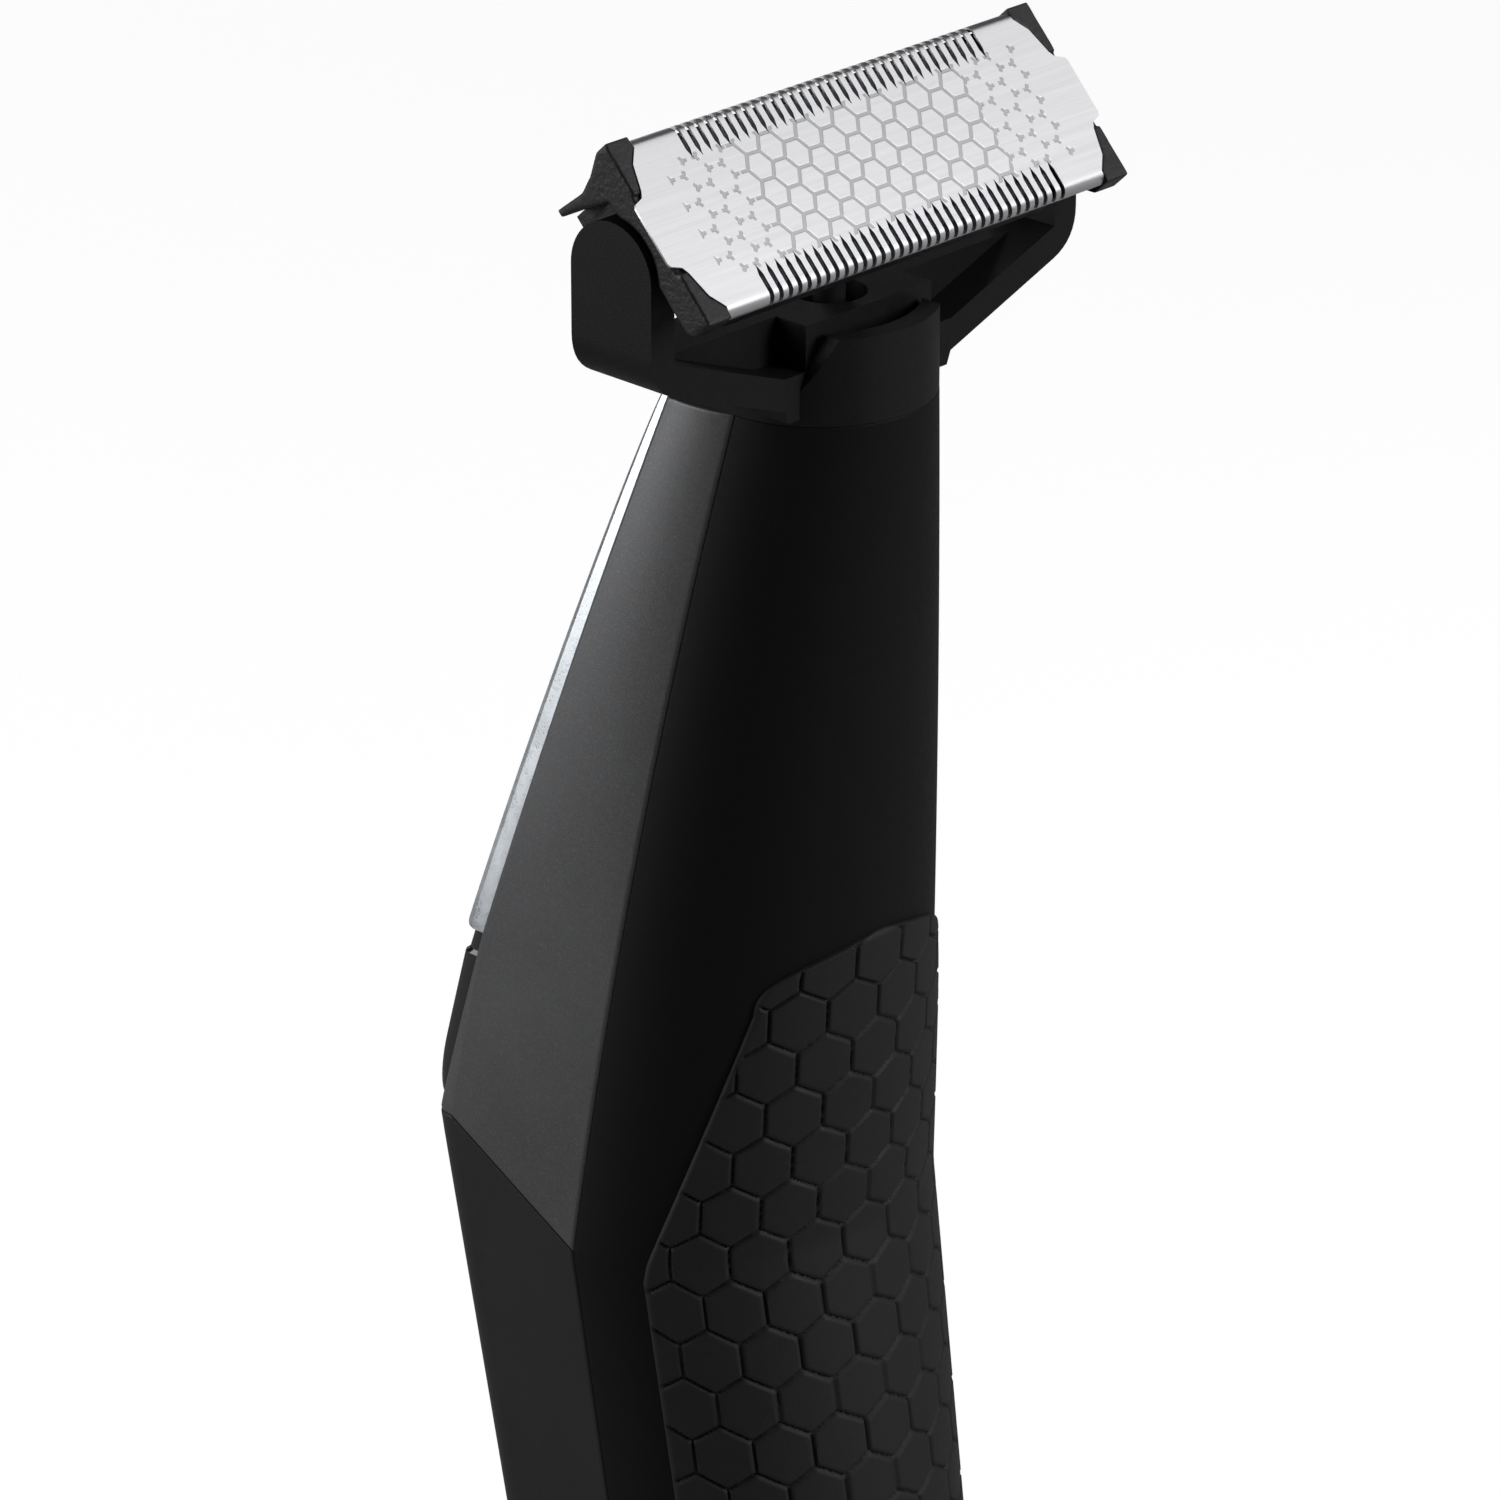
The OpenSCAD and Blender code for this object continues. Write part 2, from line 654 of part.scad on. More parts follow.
module motor_magnets() {
  color([0.25, 0.25, 0.27]) translate([0, motor_y, motor_top - motor_l + 3]) difference() {
    cylinder(r = motor_r - can_wall - touch, h = motor_l - 8);
    translate([0, 0, -cut]) cylinder(r = motor_r - 1.8, h = motor_l);
    translate([-1, -motor_r, -cut]) cube([2, 2 * motor_r, motor_l]);
  }
}

module motor_screws() {
  color([0.6, 0.6, 0.62]) for (x = [-screw_x, screw_x]) translate([x, motor_y, motor_top]) {
    translate([0, 0, -1.4]) cylinder(r = 0.6, h = 1.4 + bracket_t);
    translate([0, 0, bracket_t]) cylinder(r = 1.1, h = 0.7);
  }
}

module drive_bracket() {
  color([0.32, 0.32, 0.34]) difference() {
    union() {
      block([-plate_half, ear_front, motor_top], [plate_half, 1, motor_top + bracket_t]);
      block([-ear_half, ear_front, motor_top], [ear_half, ear_back + ear_t, motor_top + bracket_t]);
      for (y = [ear_front, ear_back]) {
        block([-ear_half, y, motor_top], [ear_half, y + ear_t, lever_z]);
        translate([0, y + ear_t, lever_z]) rotate([90, 0, 0]) cylinder(r = ear_half, h = ear_t);
      }
    }
    translate([0, motor_y, motor_top - cut]) cylinder(r = shaft_r + 1, h = bracket_t + 2 * cut);
    for (x = [-screw_x, screw_x]) translate([x, motor_y, motor_top - cut]) cylinder(r = 0.6 + touch, h = 5);
    translate([0, ear_back + 5, lever_z]) rotate([90, 0, 0]) cylinder(r = lever_pin_r + touch, h = 30);
  }
}

module lever_pin() {
  color([0.75, 0.75, 0.77]) translate([0, ear_back + ear_t, lever_z]) rotate([90, 0, 0])
    cylinder(r = lever_pin_r, h = ear_back + ear_t - ear_front);
}

// Plate that closes the neck, with the spigot that the head sits on
module neck_collar() {
  color([0.1, 0.1, 0.105]) difference() {
    union() {
      at_neck() translate([0, 0, -wall]) linear_extrude(wall) intersection() {
        polygon(ring(0, wall + run_fit));
        polygon(ring(wall / front_drop, wall + run_fit));
      }
      at_neck() translate([0, 0, -cut]) cylinder(r = spigot_r, h = spigot_h + cut);
    }
    at_neck() translate([0, 0, -2 * wall]) cylinder(r = passage_r, h = spigot_h + 3 * wall);
    at_neck() for (s = [-1, 1])
      translate([s * spigot_r, 0, spigot_h * 0.6]) cube([0.8, 3.4, 0.8], center = true);
  }
}

module drive_seal() {
  color([0.12, 0.12, 0.12]) at_neck() difference() {
    translate([0, 0, 0.6]) cylinder(r = passage_r - touch, h = spigot_h - 0.9);
    cylinder(r = seal_half, h = spigot_h + 1);
  }
}

module motor_shaft() {
  foot = motor_top - motor_l - end_cap_h + 1.2;
  color([0.8, 0.8, 0.82]) translate([0, motor_y, foot]) cylinder(r = shaft_r, h = cam_z + cam_h - cam_roof - foot);
}

module armature() {
  color([0.7, 0.4, 0.2]) translate([0, motor_y, motor_top - motor_l + 4]) difference() {
    cylinder(r = motor_r - 2.2, h = motor_l - 10);
    translate([0, 0, -cut]) cylinder(r = shaft_r + touch, h = motor_l);
    for (a = [0:120:240]) rotate([0, 0, a]) translate([motor_r - 2.6, 0, 0])
      cube([1.6, 0.9, 2 * motor_l], center = true);
  }
}

module eccentric_cam() {
  color([0.85, 0.85, 0.8]) difference() {
    union() {
      translate([0, motor_y, cam_z]) cylinder(r = cam_r, h = cam_h);
      translate([0, motor_y + eccentric, cam_z + cam_h]) cylinder(r = crank_r, h = lever_z - fork_drop + crank_up - cam_z - cam_h);
    }
    translate([0, motor_y, cam_z - cut]) cylinder(r = shaft_r + touch, h = cam_h - cam_roof + cut);
  }
}

// Rocker: fork round the eccentric pin, pivot boss, rod and ball tip
module drive_lever() {
  boss_front = ear_front + ear_t + 0.2;
  boss_back = ear_back - 0.2;
  fork_z = lever_z - fork_drop;
  side = fork_half + tine_w;
  color([0.85, 0.85, 0.82]) difference() {
    union() {
      translate([0, boss_back, lever_z]) rotate([90, 0, 0]) cylinder(r = boss_r, h = boss_back - boss_front);
      block([-side, motor_y - 1.8, fork_z - tine_low], [side, motor_y + 1.8, lever_z - 1]);
      translate([0, 0, lever_z]) cylinder(r = rod_r, h = tip_arm);
      translate([0, 0, tip_z]) sphere(r = tip_r);
    }
    block([-fork_half, motor_y - 3, fork_z - tine_low - cut], [fork_half, motor_y + 3, fork_z + crank_up + 0.6]);
    translate([0, boss_back + cut, lever_z]) rotate([90, 0, 0])
      cylinder(r = lever_pin_r + run_fit, h = boss_back - boss_front + 2 * cut);
  }
}

// ---- Power button ----

module power_button() {
  color([0.12, 0.12, 0.125]) on_front() {
    translate([0, 0, -wall - 0.1]) linear_extrude(wall + 0.1 + panel_t + button_proud) rounded(button_w, button_l, button_r);
    translate([0, 0, -wall - 0.1 - flange_t]) linear_extrude(flange_t)
      rounded(button_w + 2 * flange_over, button_l + 1.2, button_r);
  }
}

module switch_plunger() {
  reach = button_foot - wall - 0.1 - flange_t;
  color([0.2, 0.2, 0.2]) on_front() {
    translate([0, 0, -button_foot]) cylinder(r = stem_r, h = reach);
    translate([0, 0, -board_in + switch_h]) cylinder(r = plunger_r, h = plunger_h);
  }
}

// ---- Head ----

// Outline of the right arm's rim, seen from the front: rising lower edge, rounded corner, upright
function rim_outline() =
  let (s = tan(arm_rise_deg),
    low = arm_root_z + (arm_out - arm_root_x) * s,
    c = [arm_out, low],
    a = c - 2.6 * [cos(arm_rise_deg), sin(arm_rise_deg)],
    b = c + [0, 2.6],
    up = rim_w / cos(arm_rise_deg),
    top = pivot_rise + arm_half_y)
  concat([[0, 0.5], [arm_root_x - 0.4, 0.5], [arm_root_x, arm_root_z]],
    [for (k = [0:8]) bend(a, c, b, k / 8)],
    [[arm_out, top], [arm_in, top], [arm_in, low - arm_t * s + up]],
    [[arm_root_x, arm_root_z + up], [0, arm_root_z + up]]);

module yoke() {
  color([0.09, 0.09, 0.095]) at_neck() difference() {
    union() {
      linear_extrude(cover_h) polygon(ring(0, 0));
      cylinder(r = boss_out_r, h = boss_h);
      block([-tower_half, -arm_half_y, 1], [tower_half, arm_half_y, tower_top]);
      for (m = [0, 1]) mirror([m, 0, 0]) intersection() {
        union() {
          translate([0, arm_half_y, 0]) rotate([90, 0, 0]) linear_extrude(2 * arm_half_y) polygon(rim_outline());
          block([0, -arm_half_y, 1], [arm_in + 0.1, web_back, web_top]);
        }
        rotate([90, 0, 90]) linear_extrude(arm_out + cut) union() {
          translate([-arm_half_y, 0]) square([2 * arm_half_y, pivot_rise]);
          translate([0, pivot_rise]) circle(r = arm_half_y);
        }
        translate([0, 20, 0]) rotate([90, 0, 0]) linear_extrude(40) polygon(concat(
          [for (p = rim_outline()) if (p[0] > arm_in - 0.01 || p[1] < arm_root_z + 0.01 || p[0] > arm_out - 3) p],
          [[arm_in, pivot_rise + arm_half_y], [0, pivot_rise + arm_half_y]]));
      }
      rear_tab();
    }
    translate([0, 0, -cut]) cylinder(r = spigot_r + run_fit, h = spigot_h + gap + cut);
    cylinder(r = passage_r - 0.4, h = tower_top + 5);
    for (s = [-1, 1]) translate([s * (spigot_r + 0.45), 0, spigot_h / 2 + 0.1]) cube([1.1, 3.2, spigot_h - 0.6], center = true);
    for (m = [0, 1]) mirror([m, 0, 0]) translate([arm_in - cut, 0, pivot_rise]) rotate([0, 90, 0])
      cylinder(r = pin_r + touch, h = cut + arm_t - 0.5);
  }
}

// Release tab on the back of the head's base, with bevelled sides
module rear_tab() {
  intersection() {
    linear_extrude(tab_top) difference() {
      polygon(ring(0, 0));
      translate([0, -1.7]) polygon(ring(0, 0));
    }
    translate([0, 20, 0]) rotate([90, 0, 0]) linear_extrude(18)
      polygon([[-tab_low_half, 0.5], [tab_low_half, 0.5], [tab_low_half, tab_low], [tab_top_half, tab_top],
        [-tab_top_half, tab_top], [-tab_low_half, tab_low]]);
  }
}

module pivot_pins() {
  color([0.75, 0.75, 0.77]) for (m = [0, 1]) mirror([m, 0, 0])
    translate([end_in - 0.2, 0, neck_z + pivot_rise]) rotate([0, 90, 0]) cylinder(r = pin_r, h = arm_in + arm_t - 0.7 - end_in + 0.2);
}

module tilt_springs() {
  wire_r = 0.22;
  room = arm_in - end_out - 0.2;
  turns = 3;
  color([0.75, 0.45, 0.25]) for (m = [0, 1]) mirror([m, 0, 0])
    translate([end_out + 0.1, 0, neck_z + pivot_rise]) rotate([0, 90, 0])
      coil(pin_r + 0.75, wire_r, turns, (room - 2 * wire_r) / turns);
}

module latch_clips() {
  color([0.7, 0.7, 0.72]) at_neck() for (s = [-1, 1])
    translate([s * (spigot_r + 0.55), 0, spigot_h / 2 + 0.1]) cube([0.4, 2.8, spigot_h - 0.6], center = true);
}

// ---- Cartridge ----

// Comb slots along both edges, from inset in to past the edge
module comb(half, length, depth, width) {
  for (k = [0:slot_count - 1], s = [-1, 1])
    translate([(k - (slot_count - 1) / 2) * slot_pitch, s * (half - length / 2 + 0.5), 0])
      cube([width, length + 1, depth], center = true);
}

module foil_outline(w, h, r) {
  translate([-w / 2 + r, -h]) square([w - 2 * r, h]);
  translate([-w / 2, -h]) square([w, h - r]);
  for (s = [-1, 1]) translate([s * (w / 2 - r), -r]) circle(r = r);
}

// Outline of the foil's right end, larger by g: a bulge between the corners, and the tab in its middle
function end_half(g) = [[foil_half - 1, half_w_foil - foil_roll], [foil_half + g, half_w_foil - foil_roll + g],
  [foil_half + 0.6 * end_bulge + g, tab_root + 2 + g], [foil_half + end_bulge + g, tab_root + g],
  [foil_half + end_bulge + 0.3 + g, tab_half + 0.3 + g], [foil_half + tab_l + g, tab_half + g]];
module foil_end(g) {
  upper = end_half(g);
  linear_extrude(foil_t + g) polygon(concat(upper, [for (k = [len(upper) - 1:-1:0]) [upper[k][0], -upper[k][1]]]));
}

module foil() {
  color([0.82, 0.82, 0.84]) in_cartridge() translate([0, 0, foil_rise]) difference() {
    union() {
      translate([-foil_half, 0, 0]) rotate([90, 0, 90]) linear_extrude(foil_len) difference() {
        foil_outline(foil_w, skirt_h, foil_roll);
        translate([0, -foil_t]) foil_outline(foil_w - 2 * foil_t, skirt_h, foil_roll - foil_t);
      }
      for (m = [0, 1]) mirror([m, 0, 0]) translate([0, 0, -foil_t]) foil_end(0);
    }
    comb(half_w_foil, slot_l, 2 * skirt_h + 1, slot_w);
  }
}

module cassette() {
  color([0.06, 0.06, 0.06]) in_cartridge() difference() {
    union() {
      block([-end_out, -front_wall_out, -1], [end_out, back_wall_out, 0]);
      block([-end_out, wall_in, 0], [end_out, back_wall_out, wall_top]);
      block([-end_out, -front_wall_out, 0], [end_out, -wall_in, wall_top]);
      block([-foil_half, -front_wall_out, front_skirt_low], [foil_half, -wall_in, 2.6]);
      for (s = [-1, 1]) block([-end_out, s > 0 ? wall_in : -lip_in, wall_top - 0.9],
        [end_out, s > 0 ? lip_in : -wall_in, wall_top]);
      for (m = [0, 1]) mirror([m, 0, 0]) {
        block([end_in, -front_wall_out, -1], [end_out, back_wall_out, wall_top]);
        translate([end_in, 0, 0]) rotate([0, 90, 0]) cylinder(r = pivot_boss_r, h = end_t);
      }
    }
    block([-fork_way, -fork_half_w - gap, -1 - cut], [fork_way, wall_in, cut]);
    block([-end_out - cut, back_wall_out - 1.6, -1 - cut], [end_out + cut, back_wall_out + cut, 0]);
    for (m = [0, 1]) mirror([m, 0, 0]) translate([end_in - cut, 0, 0]) rotate([0, 90, 0])
      cylinder(r = pin_r + run_fit, h = end_t + 2 * cut);
  }
}

// Right-hand bracket: slab under the foil's end, corner grips beside the end tab, and the front fin
module end_bracket() {
  grip_w = half_w_foil + 0.15;
  color([0.07, 0.07, 0.07]) in_cartridge() {
    block([end_out, -slab_half, wall_top], [foil_half, slab_half, under_foil]);
    difference() {
      translate([foil_half, 0, 0]) rotate([90, 0, 90]) linear_extrude(grip_x) polygon([
        [-grip_w, foil_rise], [-grip_notch, foil_rise], [-grip_notch, under_foil], [grip_notch, under_foil],
        [grip_notch, foil_rise], [grip_w, foil_rise], [grip_w, grip_low + 0.7], [grip_w - 0.7, grip_low],
        [1, grip_low], [-4, grip_low], [-5.1, 0.2], [-5.6, -1.8], [-6.2, -1.8], [-5.9, 1.2], [-6.4, 2.8],
        [-grip_w, grip_low + 1.3]]);
      translate([foil_half - cut, 0, 0]) rotate([0, 90, 0]) cylinder(r = clear_r, h = grip_x + 2 * cut);
      translate([0, 0, under_foil]) foil_end(touch);
    }
  }
}

module end_bracket_right() {
  end_bracket();
}

module end_bracket_left() {
  mirror([1, 0, 0]) end_bracket();
}

module cutter_blade() {
  color([0.7, 0.7, 0.72]) in_cartridge() difference() {
    block([-blade_half, -half_w_foil + 1.2, carrier_top], [blade_half, half_w_foil - 1.2, blade_top]);
    comb(half_w_foil - 1.2, 1.6, 4 * foil_rise, slot_w + 0.1);
  }
}

// Plastic carrier under the blade, with the fork that takes the lever's ball
module cutter_carrier() {
  color([0.2, 0.2, 0.21]) in_cartridge() {
    block([-carrier_half, -carrier_half_w, carrier_low], [carrier_half, carrier_half_w, carrier_top]);
    for (m = [0, 1]) mirror([m, 0, 0])
      block([fork_in, -fork_half_w, -fork_half_w], [fork_out, fork_half_w, carrier_low]);
  }
}

module cutter_springs() {
  wire_r = 0.2;
  turns = 4;
  room = carrier_low - 0.1;
  color([0.7, 0.7, 0.72]) in_cartridge() for (s = [-1, 1])
    translate([s * spring_x, 0, 0.05]) coil(1.4, wire_r, turns, (room - 2 * wire_r) / turns);
}

back_shell();
grip_pad();
front_shell();
lower_front_shell();
front_plate();
thumb_panel();
base_cap();
base_screws();
charge_socket();
charge_lens();
circuit_board();
charge_led();
tact_switch();
battery_cell();
battery_contacts();
inner_frame();
motor_can();
motor_end_cap();
motor_magnets();
motor_screws();
drive_bracket();
lever_pin();
neck_collar();
drive_seal();
power_button();
switch_plunger();
motor_shaft();
armature();
eccentric_cam();
drive_lever();
yoke();
pivot_pins();
tilt_springs();
latch_clips();
foil();
cassette();
end_bracket_right();
end_bracket_left();
cutter_blade();
cutter_carrier();
cutter_springs();
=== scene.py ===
"""Body groomer: worked surfaces, finishes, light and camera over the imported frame."""

import json

import bmesh
import bpy
import numpy as np
from bpy.props import FloatProperty, FloatVectorProperty, IntProperty, PointerProperty
from mathutils import Color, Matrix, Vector


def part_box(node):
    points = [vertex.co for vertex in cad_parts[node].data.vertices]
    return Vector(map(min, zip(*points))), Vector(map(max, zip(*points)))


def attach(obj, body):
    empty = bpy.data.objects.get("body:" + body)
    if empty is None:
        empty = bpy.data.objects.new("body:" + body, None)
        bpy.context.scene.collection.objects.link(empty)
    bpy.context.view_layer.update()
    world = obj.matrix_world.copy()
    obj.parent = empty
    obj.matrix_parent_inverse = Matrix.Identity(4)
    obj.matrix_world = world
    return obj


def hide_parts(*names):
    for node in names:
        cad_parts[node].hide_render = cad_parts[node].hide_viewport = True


bl_info = {
    "name": "Body groomer",
    "version": (1, 0, 0),
    "blender": (4, 5, 0),
    "location": "3D View > Sidebar > Groomer",
    "description": "Makes the surfaces, finishes, light and camera of a body groomer",
    "category": "Add Mesh",
}

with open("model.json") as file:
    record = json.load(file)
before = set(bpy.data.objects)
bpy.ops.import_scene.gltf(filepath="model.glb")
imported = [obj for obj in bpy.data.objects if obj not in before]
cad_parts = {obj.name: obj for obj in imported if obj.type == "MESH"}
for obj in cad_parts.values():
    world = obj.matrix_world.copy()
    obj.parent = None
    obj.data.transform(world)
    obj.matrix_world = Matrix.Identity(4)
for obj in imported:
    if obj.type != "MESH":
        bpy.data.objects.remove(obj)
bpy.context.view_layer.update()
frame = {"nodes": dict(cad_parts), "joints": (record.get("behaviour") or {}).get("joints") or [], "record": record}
MM = 0.001
NECK_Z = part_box("yoke")[0].z
CAP_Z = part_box("back_shell")[0].z
PIVOT = next(Vector(j["pos_m"]) for j in frame["joints"] if j["name"] == "foil_pivot")
COLORS = {m["slot"]: m["base_color"] for m in frame["record"]["materials"]}
SLOTS = {s["node"]: s["material_slot"] for s in frame["record"]["subparts"]}


# ---- Sizes and colours ----


def length(name, description, default, low=0.0, high=0.2):
    """A length property in metres."""
    return FloatProperty(
        name=name, description=description, default=default, min=low, max=high, precision=5, unit="LENGTH"
    )


def share(name, description, default):
    """A plain number: a share of a length, or a brightness."""
    return FloatProperty(name=name, description=description, default=default, precision=4)


def degrees(name, description, default):
    """An angle kept in degrees."""
    return FloatProperty(name=name, description=description + ", in degrees", default=default)


def watts(name, description, default):
    """The power of a softbox."""
    return FloatProperty(name=name, description="Power of the softbox " + description, default=default, subtype="POWER")


def places(name, description, *default):
    """Several lengths in metres, one for each place that the description names."""
    return FloatVectorProperty(name=name, description=description, default=default, size=len(default), unit="LENGTH")


class GroomerHandle(bpy.types.PropertyGroup):
    """Sizes of the handle's shells, at the neck, at the bend and at the base."""

    front_drop: length("Front drop", "From the neck seam down to the bend of the front", 0.060)
    side_drop: length("Side drop", "From the neck seam down to the bend of the parting line", 0.067)
    back_drop: length("Back drop", "From the neck seam down to the bend of the back", 0.0655)
    neck_half_w: length("Neck half width", "Half width at the neck, on the parting line", 0.00865)
    bend_half_w: length("Bend half width", "Half width at the bend", 0.0165)
    base_half_w: length("Base half width", "Half width at the base", 0.014)
    width_bow: length("Width bow", "Outward bow of the upper sides", 0.0008)
    side_crown: length("Side crown", "Outward crown of the front shells' sides", 0.0003)
    neck_front_half: length("Neck front half", "Half width of the front edge at the neck", 0.0095)
    front_y: places("Front", "Front face at neck, bend and base", -0.0074, -0.0253, -0.0152)
    front_bow: length("Front bow", "Forward bow of the upper front", -0.0001, -0.01)
    part_y: places("Parting", "Parting line at neck, bend and base", -0.001, -0.0102, -0.0026)
    part_bow: length("Parting bow", "Forward bow of the upper parting line", -0.0005, -0.01)
    back_y: places("Back", "Back apex at neck, bend and base", 0.0077, 0.0038, 0.0136)
    edge_r: places("Front edges", "Rounding of the front edges at neck, plate end, bend and base",
                   0.0011, 0.0004, 0.0022, 0.0035)
    wall: length("Wall", "Thickness of the shells", 0.0016)
    seam: length("Seam", "Rounding of the shells' meeting edges", 0.00018)
    groove: length("Groove", "Rounding of the front shells' edges along the parting line", 0.0004)


class GroomerTrim(bpy.types.PropertyGroup):
    """Sizes of the silver plate, the thumb panel and the button on the front face."""

    plate_end: share("Plate end", "Share of the upper front that the plate covers", 0.745)
    plate_top_t: length("Plate top", "Thickness of the plate at the neck", 0.0010)
    plate_low_t: length("Plate foot", "Thickness of the plate at its lower end", 0.0022)
    plate_crown: length("Plate crown", "How far the plate's edge lies under its full thickness", 0.00015)
    trim_edge: length("Trim edge", "Gap from the plate to the shell's front edge", 0.00035)
    panel_start: share("Panel start", "Share of the upper front where the panel starts", 0.775)
    panel_t: length("Panel", "Thickness of the thumb panel", 0.0019)
    panel_edge: length("Panel edge", "Gap from the panel to the shell's front edge", 0.0005)
    ledge_inset: length("Ledge inset", "How far the ledge over the panel is set in", 0.00015)
    button_at: share("Button place", "Share of the upper front where the button sits", 0.865)
    button_w: length("Button width", "Width of the power button", 0.013)
    button_l: length("Button length", "Length of the power button", 0.008)
    button_r: length("Button corners", "Corner radius of the power button", 0.0025)
    button_proud: length("Button height", "How far the button stands above the panel", 0.0006)
    button_gap: length("Button gap", "Gap round the button", 0.0002)
    lens_drop: length("Lens drop", "From the button's centre down to the charge light", 0.0066)
    lens_r: length("Lens radius", "Radius of the charge light's hole", 0.0011)


class GroomerGrip(bpy.types.PropertyGroup):
    """Sizes of the soft pad and its hexagons."""

    top_drop: length("Top drop", "From the neck seam down to the pad's top", 0.041)
    round_h: length("Rounded top", "Height of the pad's rounded top", 0.0046)
    edge_deg: degrees("Edge angle", "Angle of the long edge round the back", 24.0)
    shoulder_deg: degrees("Shoulder angle", "The same angle under the rounded top", 49.0)
    foot: length("Foot", "Margin over the base cap", 0.010)
    thick: length("Thickness", "How far the pad stands above the shell", 0.0004)
    hex_edge: length("Hexagon edge", "Edge of one hexagon", 0.00258)
    groove_w: length("Groove width", "Width of the grooves between hexagons", 0.00042)
    groove_d: length("Groove depth", "Depth of the grooves", 0.00032)


class GroomerFoil(bpy.types.PropertyGroup):
    """Sizes of the foil and the lines etched into it."""

    tilt_deg: degrees("Tilt", "Tilt of the foil towards the back", 46.8)
    rise: length("Rise", "From the pivot to the foil's face", 0.00576)
    flat_l: length("Length", "Length of the foil's face", 0.0388)
    width: length("Width", "Width of the foil", 0.0144)
    roll_r: length("Roll", "Radius of the rolled edges", 0.0008)
    skirt: length("Skirt", "Depth of the rolled edges", 0.0013)
    thick: length("Sheet", "Thickness of the sheet", 0.00016)
    tab_l: length("Tab length", "Length of the end tabs", 0.0028)
    tab_half: length("Tab half width", "Half width of the end tabs", 0.0025)
    tab_root: length("Tab root", "Half width where the tab widens into the bulge", 0.0033)
    bulge: length("Bulge", "How far the ends bulge beyond the length of the face", 0.0015)
    slots: IntProperty(name="Slots", description="Comb slots along each edge", default=33)
    slot_pitch: length("Slot pitch", "Distance from slot to slot", 0.00094)
    slot_w: length("Slot width", "Width of a comb slot", 0.00042)
    slot_l: length("Slot length", "Length of a comb slot on the face", 0.0021)
    hex_edge: length("Etched edge", "Edge of one etched hexagon", 0.00125)
    line_w: length("Etched line", "Width of the etched lines", 0.00024)
    full_half: length("Full pattern", "Half length of the part with whole hexagons", 0.0118)


class GroomerLook(bpy.types.PropertyGroup):
    """Light, floor and camera."""

    key: watts("Key", "on the left", 3.7)
    top: watts("Top", "overhead", 0.4)
    foil_light: watts("Foil light", "behind, that the foil mirrors", 1.15)
    front: watts("Front", "before the front", 1.2)
    rim: watts("Rim", "on the right", 3.4)
    world: share("Surround", "Brightness of the even surround", 0.03)
    backdrop: share("Backdrop", "Brightness of the surround as the camera sees it", 0.94)
    floor: FloatVectorProperty(
        name="Floor", description="Colour of the floor", default=(0.93, 0.93, 0.935), subtype="COLOR", size=3
    )
    dim: share("Floor share", "Share of the floor's colour that takes light", 0.4)
    glow: share("Floor glow", "How bright the floor is as the camera sees it", 0.86)
    spill: share("Floor spill", "How bright the floor is to everything else", 0.02)
    lens: FloatProperty(name="Lens", description="Focal length of the camera, in millimetres", default=192.0)


# ---- Curves and surfaces ----


def lerp(a, b, t):
    """Straight blend from a to b."""
    return a + (b - a) * t


def along(neck, bend, base, bow, v):
    """Value at station v: linear from neck to bend with a parabolic bow, then linear to the base."""
    upper = lerp(neck, bend, v) + bow * 4 * v * (1 - v)
    return np.where(v <= 1, upper, lerp(bend, base, v - 1))


